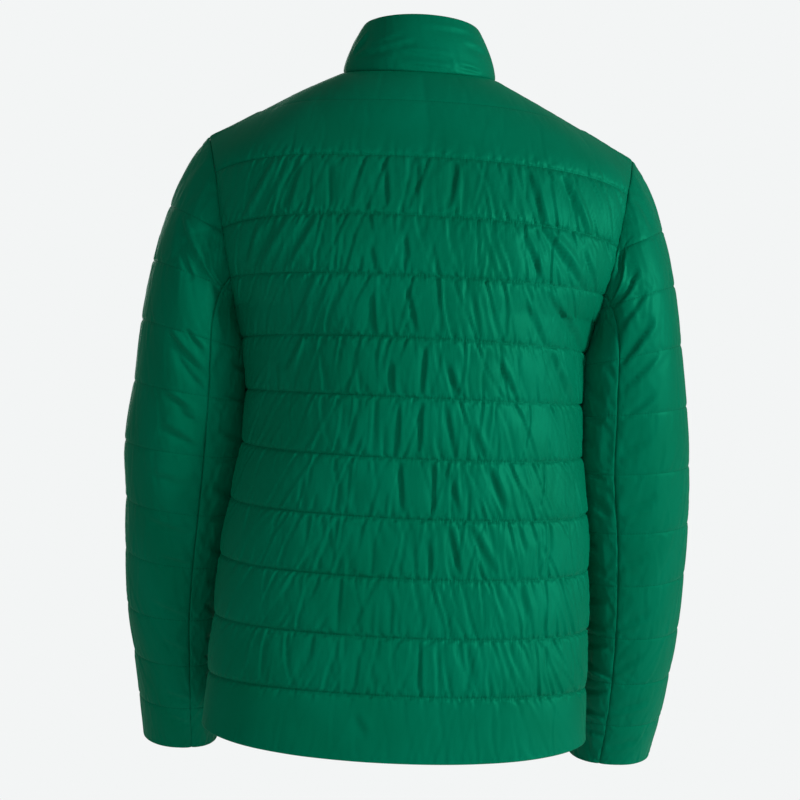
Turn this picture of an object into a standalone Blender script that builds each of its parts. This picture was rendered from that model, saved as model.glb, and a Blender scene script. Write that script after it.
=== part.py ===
"""Quilted puffer jacket, zipped up and worn: a hollow shell of sewn panels.

Frame: metres, +Z up, the wearer faces -Y, the wearer's left is +X. The origin lies at the
base of the neck, where the shoulders carry the jacket. Tables and sizes are in millimetres.

Every panel is one closed wall: a plain inside, and an outside whose channels are puffed up
between the quilting lines. Quilting lines are numbered from the top seam, 0, downwards.
"""

import math

import bmesh
import bpy
import numpy as np
from mathutils import Matrix, Vector

MM = 0.001

# Walls
WALL = 2.4  # two layers of shell and the wadding pressed between them, at a stitched line
PUFF = 7.0  # height of a full channel above its quilting lines
HEM_ROLL = 3.0  # extra thickness of the turned edge at the hem
CUFF_ROLL = 2.4
RIM_ROLL = 2.1
ROLL_SHARE = 0.3  # how much of the last channel the turned edge takes
SEAM_PUFF = 1.6  # what is left of a channel where a seam crosses it
SEAM_GAP = 0.3  # between neighbouring pieces
FULL_CHANNEL = 42.0  # a channel this wide or wider puffs up fully
SQUEEZE = 0.9  # row spacing where a quilting line has run out into a seam

# Grid
HEM_LINE = 12
CUFF_LINE = 11
NECK_COLUMNS = 5
SHOULDER_COLUMNS = 8
UPPER_SLEEVE_COLUMNS = 12
UNDER_SLEEVE_COLUMNS = 8
COLLAR_ROWS = 6
ROWS_PER_CHANNEL = 4
ARMPIT_CHANNEL = 4  # the channel that the armpit divides
ARMPIT_CHANNEL_ROWS = 6

SLEEVE_PUFF = 5.0
RING_SQUARENESS = 2.25  # 2 is an ellipse

# Shoulders and neck
NECK_HALF_WIDTH = 82.0
NECK_BACK = 58.0
NECK_FRONT = 84.0
NECK_LEVEL = 6.0
NECK_FRONT_DROP = 60.0
SHOULDER_SLOPE = 0.47
SHOULDER_CURVE = 0.00043
FRONT_EDGE = 5.2  # half the space that the zip takes at centre front
NECK_CURVE_POWER = 1.4  # how late the front neckline turns down
NECK_OUTWARD, NECK_UPWARD = 0.85, 0.5  # which way the cloth faces along the neck seam

# Collar
COLLAR_TOP_HALF_WIDTH = 62.0
COLLAR_TOP_BACK = 41.0
COLLAR_TOP_FRONT = 68.0
COLLAR_TOP_LEVEL = 67.0
COLLAR_SIDE_DIP = 12.0
COLLAR_TOP_FRONT_LEVEL = 12.0
COLLAR_PUFF = 5.0
COLLAR_BOW = 2.5  # how far its wall bows outwards half-way up

# Zip
TAPE_INNER_EDGE = 3.2
TAPE_OUTER_EDGE = 15.0
TAPE_THICKNESS = 1.0
TAPE_GAP = 0.8
CHAIN_HALF_WIDTH = 2.9
CHAIN_THICKNESS = 2.4
SLIDER_WIDTH = 9.0
SLIDER_HEIGHT = 12.0
SLIDER_PLATE = 1.2
SLIDER_BELOW_TOP = 17.0
POST_WIDTH = 3.6
POST_HEIGHT = 4.0
BRIDGE_WIDTH = 2.0
BRIDGE_HEIGHT = 3.6
BRIDGE_LENGTH = 8.0
BRIDGE_BAR = 1.0
PULL_WIDTH = 6.0
PULL_LENGTH = 27.0
PULL_THICKNESS = 1.4
PULL_BAR = 1.3
PULL_WINDOW_WIDTH = 3.2
PULL_WINDOW_LENGTH = 6.4

# How panels curve between their seams
CURVE_STEPS = 200
CURVE_REACH = 0.36  # length of a curve's handles, for each mm between its ends
BODY_ROUNDNESS = 0.56
FIRST_LINE_LEVEL = -27.0  # the first quilting line, across the yoke, at centre back
FIRST_LINE_DROP = 24.0
ARMHOLE_LEAN = 0.45  # how far the cloth faces outwards on top of the armhole
CORNER_LEAN = 0.6  # how far the yoke runs outwards from the neck's shoulder corner
CORNER_COLUMNS = 4
SLEEVE_LEAVES = (0.62, 0.32, -0.8)  # way of the sleeve as it leaves the armhole
SLEEVE_OUTER_LEAN = 0.12
PUFF_POWER = 0.7

# The body, a row for each quilting line from the second down to the hem. level and
# front_level are heights at centre back and centre front; back and front are depths.
BODY_COLUMNS = ("line", "level", "front_level", "back", "front", "sway")
BODY_ROWS = (
    (2, -86, -92, 108, -97, 0),
    (3, -147, -150, 128, -113, 0),
    (4, -208, -210, 136, -122, -1),
    (5, -271, -272, 136, -125, -2),
    (6, -331, -332, 131, -125, -3),
    (7, -393, -392, 126, -125, -3),
    (8, -454, -451, 122, -125, -2),
    (9, -515, -511, 120, -125, 0),
    (10, -575, -571, 120, -125, 1),
    (11, -634, -631, 120, -124, 2),
    (12, -702, -692, 118, -122, 3),
)

# The armhole, from the shoulder tip down to the armpit: its back and its front edge.
ARMHOLE_COLUMNS = ("line", "x", "y_back", "y_front", "z", "turn")
ARMHOLE_ROWS = (
    (0, 226.5, 0, 0, -71, 30),
    (1, 225.5, 9, -8, -73.5, 32),
    (1.5, 222.5, 29, -26, -87, 36),
    (2, 217.5, 46, -42, -110, 42),
    (3, 206.5, 60, -55, -166, 54),
    (4, 194, 54, -50, -216, 66),
    (4.1667, 191, 45, -38, -230, 72),
    (4.3333, 189, 31, -14, -240, 78),
    (4.5, 188, 15, 15, -244, 84),
)
ARMPIT = 4.5
CURVED_ABOVE = 4  # above this line the plain inside has a row half-way down each channel too

# The side seam, from the armpit down to the hem; it sits a little to the back.
SIDE_COLUMNS = ("line", "x", "y", "z", "turn")
SIDE_ROWS = (
    (4.5, 188, 15, -244, 84),
    (5, 179, 17, -277, 88),
    (6, 173.5, 20, -330, 92),
    (7, 175.5, 24, -384, 94),
    (8, 184, 28, -442, 95),
    (9, 189.5, 32, -500, 96),
    (10, 192, 35, -562, 97),
    (11, 194, 37, -622, 98),
    (12, 196, 38, -673, 98),
)

# Rings of the sleeve at its quilting lines, from the first whole one down to the cuff: the
# outer and the inner point, the depth of the middle, half the depth, how far the ring dips
# towards the back for each mm, and how much further out the right arm is held.
SLEEVE_COLUMNS = ("line", "x_out", "z_out", "x_in", "z_in", "y", "half_depth", "dip", "spread")
SLEEVE_ROWS = (
    (3, 285, -262, 186.5, -289, -2, 68, -0.02, 0.5),
    (4, 291, -326, 180.5, -341, -10, 65, -0.06, 2),
    (5, 294.5, -388, 179, -398, -20, 62, -0.12, 3),
    (6, 295.5, -448, 184, -457, -31, 58, -0.18, 3.5),
    (7, 294, -502, 186.5, -511, -43, 55, -0.23, 4.5),
    (8, 288, -561, 187.5, -565, -56, 51, -0.26, 5.5),
    (9, 279.5, -611, 186, -614, -68, 47, -0.28, 7),
    (10, 271.5, -659, 185, -661, -81, 43.5, -0.28, 7.5),
    (11, 263.5, -704, 185, -705, -93, 39, -0.28, 6),
)
# The two lines above the first whole ring slope across the sleeve's cap.
CAP_LINES = (
    # x at the outline, z there, slope towards the body
    (262.0, -142.6, 0.5),
    (275.0, -200.4, 0.36),
)
SLEEVE_SEAM_TURN = 106.0  # degrees from the outermost point round to the sleeve's seams
SLEEVE_SEAM_LINE = 4  # both seams start where this body line meets the armhole
CAP_TURNS = ((0, 0.0), (1, 7.0), (2, 40.0), (3, 76.0), (4, SLEEVE_SEAM_TURN), (ARMPIT, 180.0))

# Main folds of the back: the channel, where it starts and ends across the back (in
# half-widths, - to the wearer's right), how far down the channel it runs, width, depth.
HALF_BACK = 195.0  # what 1 is, measured round the body
FOLD_COLUMNS = ("channel", "start", "end", "above", "below", "width", "depth")
BACK_FOLDS = (
    (2, -0.70, -0.80, 0.1, 0.9, 22, 4.0),
    (2, 0.62, 0.76, 0.1, 0.9, 22, 3.0),
    (3, -0.62, -0.86, 0.1, 0.9, 24, 5.0),
    (3, 0.66, 0.86, 0.1, 0.9, 24, 4.0),
    (4, -0.56, -0.80, 0.1, 0.9, 24, 4.0),
    (4, 0.52, 0.62, 0.1, 0.9, 22, 3.0),
    (5, 0.58, 0.68, 0.1, 0.9, 24, 5.0),
    (5, -0.02, -0.02, 0.1, 0.9, 22, 3.0),
    (5, -0.70, -0.84, 0.1, 0.9, 24, 4.5),
    (6, 0.06, 0.06, 0.1, 0.9, 22, 3.5),
    (7, -0.14, -0.14, 0.1, 0.9, 22, 3.5),
    (8, -0.24, -0.30, 0.1, 0.9, 24, 3.5),
)
FRONT_FOLDS = (
    (3, 0.72, 0.84, 0.1, 0.9, 24, 4.0),
    (4, 0.66, 0.82, 0.1, 0.9, 24, 4.0),
    (6, 0.45, 0.5, 0.1, 0.9, 22, 3.0),
    (8, 0.7, 0.62, 0.1, 0.9, 24, 3.0),
)

SHELL_GREEN = ("taffeta_shell", (0.0, 0.13, 0.07), 0.5, 0.0)
TAPE_GREEN = ("woven_zip_tape", (0.0, 0.07, 0.035), 0.85, 0.0)
CHAIN_GREEN = ("moulded_zip_teeth", (0.004, 0.05, 0.03), 0.4, 0.0)
SLIDER_METAL = ("painted_zinc", (0.01, 0.05, 0.035), 0.35, 0.6)


def clear_scene():
    for thing in list(bpy.data.objects):
        bpy.data.objects.remove(thing, do_unlink=True)


def material(name, colour, roughness, metallic):
    made = bpy.data.materials.get(name) or bpy.data.materials.new(name)
    made.use_nodes = True
    shader = made.node_tree.nodes["Principled BSDF"]
    shader.inputs["Base Color"].default_value = (*colour, 1.0)
    shader.inputs["Roughness"].default_value = roughness
    shader.inputs["Metallic"].default_value = metallic
    return made


def read(rows, columns, name, at):
    """One column of a table at any line, on a smooth curve through its rows."""
    table = np.array(rows, float)
    x, y = table[:, 0], table[:, columns.index(name)]
    step = np.diff(x)
    rise = np.diff(y) / step
    slope = np.empty_like(y)
    slope[0], slope[-1] = rise[0], rise[-1]
    slope[1:-1] = (rise[:-1] * step[1:] + rise[1:] * step[:-1]) / (step[:-1] + step[1:])
    at = np.clip(at, x[0], x[-1])
    k = np.clip(np.searchsorted(x, at, side="right") - 1, 0, len(step) - 1)
    t = (at - x[k]) / step[k]
    return (
        y[k] * (1 + 2 * t) * (1 - t) ** 2
        + slope[k] * step[k] * t * (1 - t) ** 2
        + y[k + 1] * t * t * (3 - 2 * t)
        + slope[k + 1] * step[k] * t * t * (t - 1)
    )


def unit(v):
    return v / np.maximum(np.linalg.norm(v, axis=-1, keepdims=True), 1e-9)


def bezier(a, b, c, d, t):
    t = np.asarray(t, float)[..., None]
    return a * (1 - t) ** 3 + 3 * b * t * (1 - t) ** 2 + 3 * c * t * t * (1 - t) + d * t**3


def leaving_curve(start, leave, end, below):
    """A curve that leaves its start in one direction and ends in line with the point below
    its end."""
    reach = CURVE_REACH * np.linalg.norm(end - start)
    arrive = unit(end - below) * reach
    steps = np.linspace(0, 1, CURVE_STEPS + 1)
    return bezier(start, start + unit(leave) * reach, end + arrive, end, steps)


def channel_rows(first, last):
    """Line numbers of every row of points between two quilting lines."""
    rows = []
    for channel in range(first, last):
        count = ARMPIT_CHANNEL_ROWS if channel == ARMPIT_CHANNEL else ROWS_PER_CHANNEL
        rows += [channel + k / count for k in range(count)]
    return np.array(rows + [float(last)])


def puff_shape(lines):
    """0 at a quilting line, 1 in the middle of a channel, pillow-shaped between."""
    within = np.asarray(lines) - np.floor(lines)
    return np.sin(math.pi * within) ** PUFF_POWER


# --- Seams that panels share -------------------------------------------------------------


def armhole_point(line, front):
    """A point of the left armhole, on its front or its back edge."""
    y = read(ARMHOLE_ROWS, ARMHOLE_COLUMNS, "y_front" if front else "y_back", line)
    x = read(ARMHOLE_ROWS, ARMHOLE_COLUMNS, "x", line)
    return np.array([x, y, read(ARMHOLE_ROWS, ARMHOLE_COLUMNS, "z", line)])


def armhole_frame(line, front):
    """Outward direction of the seam and the direction from body to sleeve, at a point."""
    ahead = armhole_point(min(line + 0.05, ARMPIT), front)
    behind = armhole_point(max(line - 0.05, 0), front)
    along = unit(ahead - behind)
    if line in (0, ARMPIT):
        along = np.array([0.0, -1.0 if front else 1.0, 0.0]) * (1 if line == 0 else -1)
    radial = unit(np.cross(along, (1.0, 0.0, 0.0)) * (1 if front else -1))
    lean = ARMHOLE_LEAN * max(0.0, radial[2])
    outward = unit(radial + np.array([lean, 0.0, 0.0]))
    across = unit(np.cross(along, outward))
    return outward, across * np.sign(across[0])


def shoulder_point(share):
    """A point of the shoulder seam, from the neck, 0, to the tip, 1."""
    tip_x = ARMHOLE_ROWS[0][1]
    run = (tip_x - NECK_HALF_WIDTH) * np.asarray(share, float)
    drop = SHOULDER_SLOPE * run + SHOULDER_CURVE * run**2
    return np.stack([NECK_HALF_WIDTH + run, 0 * run, NECK_LEVEL - drop], -1)


def neck_point(share, front):
    """A point of the neck seam, from centre back or centre front, 0, to the shoulder, 1."""
    turn = np.asarray(share, float) * math.pi / 2
    if front:
        x = FRONT_EDGE + (NECK_HALF_WIDTH - FRONT_EDGE) * np.sin(turn)
        y = -NECK_FRONT * np.cos(turn)
        return np.stack([x, y, NECK_LEVEL - NECK_FRONT_DROP * np.cos(turn) ** NECK_CURVE_POWER], -1)
    x = NECK_HALF_WIDTH * np.sin(turn)
    return np.stack([x, NECK_BACK * np.cos(turn), NECK_LEVEL + 0 * x], -1)


def neck_normal(points):
    radial = points * np.array([1.0, 1.0, 0.0])
    return unit(unit(radial) * NECK_OUTWARD + np.array([0.0, 0.0, NECK_UPWARD]))


def top_edge(front):
    """The upper edge of half a panel: the neck seam, then the shoulder seam."""
    neck = neck_point(np.arange(NECK_COLUMNS) / NECK_COLUMNS, front)
    shoulder = shoulder_point(np.arange(SHOULDER_COLUMNS + 1) / SHOULDER_COLUMNS)
    return np.concatenate([neck, shoulder])


# --- Body --------------------------------------------------------------------------------


def side_end(line, front):
    """Where a row of the body ends: the armhole above the armpit, the side seam below."""
    if line <= ARMPIT:
        turn = read(ARMHOLE_ROWS, ARMHOLE_COLUMNS, "turn", line)
        return armhole_point(line, front), turn
    x, y, z, turn = (read(SIDE_ROWS, SIDE_COLUMNS, name, line) for name in SIDE_COLUMNS[1:])
    return np.array([x, y, z]), 180 - turn if front else turn


def sway_at(lines):
    """How far the body leans aside at each line; the armholes stay where they are."""
    lines = np.asarray(lines, float)
    return read(BODY_ROWS, BODY_COLUMNS, "sway", lines) * np.clip((lines - ARMPIT) / 1.5, 0, 1)


def body_row(line, front, across):
    """Points of one row of half a panel, from the centre, 0, to its side, 1."""
    depth, level = (
        read(BODY_ROWS, BODY_COLUMNS, name, line)
        for name in (("front", "front_level") if front else ("back", "level"))
    )
    end, turn = side_end(line, front)
    sign = -1.0 if front else 1.0
    start_x = FRONT_EDGE if front else 0.0
    arm = math.radians(turn)
    toward = np.array([math.cos(arm), -sign * math.sin(arm)])
    a = np.array([start_x, depth])
    d = end[:2]
    b = a + np.array([BODY_ROUNDNESS * (d[0] - a[0]), 0.0])
    c = d - toward * BODY_ROUNDNESS * abs(depth - d[1])
    plan = bezier(a, b, c, d, across)
    z = end[2] + (level - end[2]) * (1 - across**2)
    return np.concatenate([plan, z[:, None]], 1)


def line_fraction(curve, level, spacing):
    """Where a curve running down from the top edge crosses a level, never nearer the top
    than the spacing of squeezed rows allows."""
    length = np.linalg.norm(curve[-1] - curve[0])
    least = spacing / length
    below = np.nonzero(curve[:, 2] <= level)[0]
    found = below[0] / (len(curve) - 1) if len(below) else 1.0
    return min(max(found, least), 1 - least)


def body_half(lines, front):
    """Base points of half a panel [row, column] and the width of the channel at each."""
    columns = NECK_COLUMNS + SHOULDER_COLUMNS
    across = np.arange(columns + 1) / columns
    top = top_edge(front)
    yoke_rows = int(np.searchsorted(lines, 2))
    grid = np.zeros((len(lines), columns + 1, 3))
    for row, line in enumerate(lines):
        if row >= yoke_rows:
            grid[row] = body_row(line, front, across)
    second, below = grid[yoke_rows], body_row(2.3, front, across)
    sign = -1.0 if front else 1.0
    first_level = -27.0
    widths = np.full(grid.shape[:2], FULL_CHANNEL)
    for j in range(columns + 1):
        a, d = top[j], second[j]
        if j == columns:
            grid[:yoke_rows, j] = [armhole_point(line, front) for line in lines[:yoke_rows]]
            continue
        neckward = max(0.0, 1 - j / NECK_COLUMNS)
        lean = math.sin(math.pi / 2 * (1 - neckward)) * (1 - max(0, j - NECK_COLUMNS) / CORNER_COLUMNS)
        aside = CORNER_LEAN * max(0.0, lean)
        leave = unit(np.array([aside, sign * (1 - 0.25 * neckward), -0.3 - 0.5 * neckward]))
        curve = leaving_curve(a, leave, d, below[j])
        level = FIRST_LINE_LEVEL - FIRST_LINE_DROP * across[j] ** 2
        first = line_fraction(curve, level, SQUEEZE * ROWS_PER_CHANNEL)
        total = np.linalg.norm(np.diff(curve, axis=0), axis=1).sum()
        for row, line in enumerate(lines[:yoke_rows]):
            share = first * line if line < 1 else first + (1 - first) * (line - 1)
            grid[row, j] = curve[int(round(share * CURVE_STEPS))]
            widths[row, j] = total * (first if line < 1 else 1 - first)
    return grid, widths


def natural_normals(grid, closed=False):
    """Unit normals of a grid whose rows run down, outward where its columns run
    anticlockwise seen from above."""
    if closed:
        around = np.roll(grid, -1, 1) - np.roll(grid, 1, 1)
    else:
        around = np.gradient(grid, axis=1)
    down = np.gradient(grid, axis=0)
    return unit(np.cross(down, around))


def folds(table, lines, across):
    """How far each point of a panel is drawn in by its hand-placed folds."""
    drawn = np.zeros((len(lines), len(across)))
    for row in table:
        fold = dict(zip(FOLD_COLUMNS, row))
        share = (lines[:, None] - fold["channel"] - fold["above"]) / (fold["below"] - fold["above"])
        share = np.clip(share, 0, 1)
        place = fold["start"] + (fold["end"] - fold["start"]) * share
        off = (across[None, :] - place) * HALF_BACK / (fold["width"] / 2)
        drawn += fold["depth"] * np.sin(math.pi * share) * np.exp(-(off**2))
    return drawn


def body_wall(front, side):
    """Outer and inner points of a body panel. side is 0 for the whole back, 1 or -1 for a
    front."""
    lines = channel_rows(0, HEM_LINE)
    half, width = body_half(lines, front)
    columns = half.shape[1] - 1
    mirror = np.array([-1.0, 1.0, 1.0])
    bend = sway_at(lines)
    normals = natural_normals(half) * (1.0 if front else -1.0)
    normals[:, 0] = unit(normals[:, 0] * np.array([0.0, 1.0, 1.0]))
    gap = np.zeros_like(half)
    away = np.array([0.0, -1.0 if front else 1.0, 0.0])
    top = top_edge(front)
    shoulder_normal = unit(np.array([SHOULDER_SLOPE, 0.0, 1.0]))
    for j in range(columns + 1):
        if j <= NECK_COLUMNS:
            normals[0, j] = neck_normal(top[j])
            tangent = unit(top[min(j + 1, NECK_COLUMNS)] - top[max(j - 1, 0)])
            if j == 0:
                tangent = np.array([1.0, 0.0, 0.0])
            if j == NECK_COLUMNS:
                tangent = np.array([0.0, 1.0, 0.0])
            down = unit(np.cross(normals[0, j], tangent))
            gap[0, j] += down * -np.sign(down[2])
        else:
            normals[0, j] = shoulder_normal
        if j >= NECK_COLUMNS:
            gap[0, j] += away
    for row, line in enumerate(lines):
        if line <= ARMPIT:
            normals[row, -1], across = armhole_frame(line, front)
            gap[row, -1] -= across
        else:
            turn = math.radians(read(SIDE_ROWS, SIDE_COLUMNS, "turn", line))
            normals[row, -1] = (math.sin(turn), math.cos(turn), 0.0)
        if line >= ARMPIT:
            gap[row, -1] += away
    across = np.arange(columns + 1) / columns
    inset = np.clip((1 - across) * columns / 1.5, 0, 1)
    rise = PUFF * puff_shape(lines)[:, None] * np.minimum(1, width / FULL_CHANNEL)
    edge = SEAM_PUFF * puff_shape(lines)[:, None] * (lines > ARMPIT)[:, None]
    if front:
        inset = np.minimum(inset, np.clip(across * columns / 1.2 + 0.12, 0, 1))
    height = rise * inset + edge * (1 - inset)
    height += HEM_ROLL * np.clip((lines - HEM_LINE) / ROLL_SHARE + 1, 0, 1)[:, None]
    height[0] = 0.0
    parts = []
    for sign in ((side,) if side else (-1, 1)):
        base = half.copy()
        table = FRONT_FOLDS if front else BACK_FOLDS
        drawn = folds(table, lines, across * (1 if front else sign))
        tall = np.maximum(height - drawn * np.clip(height / 3, 0, 1), 0.3 * height)
        turned = mirror if sign < 0 else np.ones(3)
        base = base * turned + gap * turned * SEAM_GAP / 2
        base[:, :, 0] += bend[:, None]
        normal = normals * turned
        parts.append((base + normal * tall[:, :, None], base - normal * WALL))
    if side:
        return parts[0]
    return tuple(np.concatenate([a[:, ::-1], b[:, 1:]], 1) for a, b in zip(*parts))


def kept_rows(lines, halves_above):
    """Rows of the plain inside: the quilting lines, and half-way rows where it is curved."""
    step = np.where(lines < halves_above, 0.5, 1.0)
    return [row for row, line in enumerate(lines) if (line / step[row]) % 1 == 0]


# --- Sleeves -----------------------------------------------------------------------------


def ring(line, turns, side):
    """Points round the sleeve at a line, before the left arm is mirrored to the right."""
    x_out, z_out, x_in, z_in, y, half_depth, dip, spread = (
        read(SLEEVE_ROWS, SLEEVE_COLUMNS, name, line) for name in SLEEVE_COLUMNS[1:]
    )
    arm = np.radians(turns)
    out = np.sign(np.cos(arm)) * np.abs(np.cos(arm)) ** (2 / RING_SQUARENESS)
    back = np.sign(np.sin(arm)) * np.abs(np.sin(arm)) ** (2 / RING_SQUARENESS)
    x_out -= side * spread
    x_in += spread if side < 0 else 0.0
    middle = np.array([(x_out + x_in) / 2, y, (z_out + z_in) / 2])
    half = np.array([(x_out - x_in) / 2, 0.0, (z_out - z_in) / 2])
    deep = np.array([0.0, 1.0, dip]) * half_depth
    return middle + out[:, None] * half + back[:, None] * deep


def armhole_line(turn):
    """The armhole line and edge from which a column of the sleeve starts."""
    turn = (turn + 180) % 360 - 180
    table = np.array(CAP_TURNS)
    return float(np.interp(abs(turn), table[:, 1], table[:, 0])), turn < 0


def cap_curve(turn, side):
    """The sleeve from its armhole seam to its first whole ring, at one turn."""
    line, front = armhole_line(turn)
    a = armhole_point(line, front)
    d, below = (ring(at, np.array([turn]), side)[0] for at in (3, 3.3))
    arm = math.radians(turn)
    out, deep, down = SLEEVE_LEAVES
    leave = np.array([out - SLEEVE_OUTER_LEAN * math.cos(arm), deep * math.sin(arm), down])
    return leaving_curve(a, leave, d, below)


def sleeve_base(lines, turns, side):
    """Base points of the whole sleeve [row, column] and the width of each channel."""
    grid = np.zeros((len(lines), len(turns), 3))
    widths = np.full(grid.shape[:2], FULL_CHANNEL)
    for row, line in enumerate(lines):
        if line >= 3:
            grid[row] = ring(line, turns, side)
    for j, turn in enumerate(turns):
        curve = cap_curve(turn, side)
        total = np.linalg.norm(np.diff(curve, axis=0), axis=1).sum()
        least = SQUEEZE * ROWS_PER_CHANNEL / total
        shares = [0.0]
        for x, z, slope in CAP_LINES:
            under = np.nonzero(curve[:, 2] <= z - slope * (x - curve[:, 0]))[0]
            found = under[0] / CURVE_STEPS if len(under) else 1.0
            shares.append(max(found, shares[-1] + least))
        shares[2] = min(shares[2], 1 - least)
        shares[1] = min(shares[1], shares[2] - least)
        shares.append(1.0)
        for row, line in enumerate(lines):
            if line < 3:
                k = int(line)
                share = shares[k] + (shares[k + 1] - shares[k]) * (line - k)
                t = share * CURVE_STEPS
                low = min(int(t), CURVE_STEPS - 1)
                grid[row, j] = curve[low] + (curve[low + 1] - curve[low]) * (t - low)
                widths[row, j] = total * (shares[k + 1] - shares[k])
    return grid, widths


def sleeve_walls(side):
    """(outer, inner, outer top edge, inner top edge) of the upper and the under sleeve."""
    seam = SLEEVE_SEAM_TURN
    upper = np.linspace(-seam, seam, UPPER_SLEEVE_COLUMNS + 1)
    under = np.linspace(seam, 360 - seam, UNDER_SLEEVE_COLUMNS + 1)
    turns = np.concatenate([upper[:-1], under[:-1]])
    lines = np.arange(CUFF_LINE * ROWS_PER_CHANNEL + 1) / ROWS_PER_CHANNEL
    grid, widths = sleeve_base(lines, turns, side)
    normals = natural_normals(grid, closed=True)
    facing = ((1 - np.cos(np.radians(turns))) / 2) ** 2
    rise = SLEEVE_PUFF * (1 - 0.65 * facing)[None, :] * puff_shape(lines)[:, None]
    rise = rise * np.minimum(1, widths / FULL_CHANNEL)
    roll = CUFF_ROLL * np.clip((lines - CUFF_LINE) / ROLL_SHARE + 1, 0, 1)[:, None]
    rise += roll
    mirror = np.array([float(side), 1.0, 1.0])
    count = len(turns)
    walls = []
    for first, number in ((0, UPPER_SLEEVE_COLUMNS), (UPPER_SLEEVE_COLUMNS, UNDER_SLEEVE_COLUMNS)):
        columns = [(first + k) % count for k in range(number + 1)]
        base, normal, tall = grid[:, columns].copy(), normals[:, columns], rise[:, columns].copy()
        seam_rise = SEAM_PUFF * puff_shape(lines)[:, None] + roll
        tall[:, [0, -1]] = np.minimum(tall, seam_rise)[:, [0, -1]]
        for edge, inside in ((0, 1), (-1, -2)):
            way = base[:, inside] - base[:, edge]
            way -= normal[:, edge] * np.sum(way * normal[:, edge], 1)[:, None]
            base[:, edge] += unit(way) * SEAM_GAP / 2
        outer = base + normal * tall[:, :, None]
        inner = base - normal * WALL
        top = []
        for line, front in armhole_samples(number == UPPER_SLEEVE_COLUMNS):
            outward, across = armhole_frame(line, front)
            point = armhole_point(line, front) + across * SEAM_GAP / 2
            top.append((point, point - outward * WALL))
        top = np.array(top)
        for end, inside in ((0, 1), (-1, -2)):
            top[end] += unit(top[inside, 0] - top[end, 0]) * SEAM_GAP / 2
        walls.append((outer * mirror, inner * mirror, top[:, 0] * mirror, top[:, 1] * mirror))
    return walls, kept_rows(lines, CURVED_ABOVE)


def armhole_samples(upper):
    """(line, on the front edge) of the body's points along a sleeve's top edge, in the
    order of the sleeve's columns."""
    lines = channel_rows(0, ARMPIT_CHANNEL + 1)
    if upper:
        lines = [line for line in lines if line <= SLEEVE_SEAM_LINE]
        return [(line, True) for line in lines[:0:-1]] + [(line, False) for line in lines]
    lines = [line for line in lines if SLEEVE_SEAM_LINE <= line <= ARMPIT + 1e-6]
    return [(line, False) for line in lines] + [(line, True) for line in lines[-2::-1]]


# --- Collar ------------------------------------------------------------------------------


def collar_walls():
    shares = np.arange(NECK_COLUMNS + 1) / NECK_COLUMNS
    turn = shares * math.pi / 2
    x = FRONT_EDGE + (COLLAR_TOP_HALF_WIDTH - FRONT_EDGE) * np.sin(turn)
    side_level = COLLAR_TOP_LEVEL - COLLAR_SIDE_DIP
    front_top = np.stack(
        [
            x,
            -COLLAR_TOP_FRONT * np.cos(turn),
            side_level - (side_level - COLLAR_TOP_FRONT_LEVEL) * np.cos(turn) ** NECK_CURVE_POWER,
        ],
        -1,
    )
    back_top = np.stack(
        [
            COLLAR_TOP_HALF_WIDTH * np.sin(turn),
            COLLAR_TOP_BACK * np.cos(turn),
            side_level + COLLAR_SIDE_DIP * np.cos(turn),
        ],
        -1,
    )
    half_base = np.concatenate([neck_point(shares, True), neck_point(shares, False)[-2::-1]])
    half_top = np.concatenate([front_top, back_top[-2::-1]])
    mirror = np.array([-1.0, 1.0, 1.0])
    low = np.concatenate([half_base, (half_base * mirror)[-2::-1]])
    high = np.concatenate([half_top, (half_top * mirror)[-2::-1]])
    rows = np.arange(COLLAR_ROWS + 1) / COLLAR_ROWS
    outward = unit((low + high) * np.array([1.0, 1.0, 0.0]))
    grid = low + (high - low) * rows[:, None, None]
    grid = grid + outward * (4 * COLLAR_BOW * rows * (1 - rows))[:, None, None]
    normals = -natural_normals(grid)
    normals[:, [0, -1]] = unit(normals[:, [0, -1]] * np.array([0.0, 1.0, 1.0]))
    normals[0] = neck_normal(low)
    gap = np.zeros_like(grid)
    along = np.gradient(low, axis=0)
    across = unit(np.cross(normals[0], unit(along)))
    gap[0] = across * np.sign(across[:, 2:3])
    grid = grid + gap * SEAM_GAP / 2
    rise = COLLAR_PUFF * np.sin(math.pi * rows) ** PUFF_POWER
    rise += RIM_ROLL * np.clip((rows - 1) / ROLL_SHARE + 1, 0, 1)
    ends = np.ones(len(low))
    ends[[0, -1]] = 0.15
    outer = grid + normals * (rise[:, None] * ends)[:, :, None]
    return outer, grid - normals * WALL, grid, normals


# --- Zip ---------------------------------------------------------------------------------


def zip_path():
    """Centre-front edge from hem to collar rim: points, outward normals and the direction
    into the left front, with the collar's first row left to the front panel."""
    lines = channel_rows(0, HEM_LINE)
    half, _ = body_half(lines, True)
    half[:, :, 0] += sway_at(lines)[:, None]
    into = unit(half[:, 1] - half[:, 0])
    down = np.gradient(half[:, 0], axis=0)
    front_normal = unit(np.cross(into, unit(down)))
    front_normal *= -np.sign(front_normal[:, 1:2])
    _, _, collar, collar_normals = collar_walls()
    collar_into = unit(collar[:, 1] - collar[:, 0])
    points = np.concatenate([half[::-1, 0], collar[1:, 0]])
    normals = np.concatenate([front_normal[::-1], collar_normals[1:, 0]])
    ways = np.concatenate([into[::-1], collar_into[1:]])
    middle = points * np.array([0.0, 1.0, 1.0])
    middle[: len(lines), 0] = sway_at(lines[::-1])
    flat = normals * np.array([0.0, 1.0, 1.0])
    return points, unit(flat), ways, middle


def along_path(middle, start, end):
    """Indices and points of a path between two distances from its start."""
    distance = np.concatenate([[0], np.cumsum(np.linalg.norm(np.diff(middle, axis=0), axis=1))])
    end = distance[-1] + end if end <= 0 else end
    inside = distance[(distance > start + 1) & (distance < end - 1)]
    return distance, np.concatenate([[start], inside, [end]])


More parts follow.
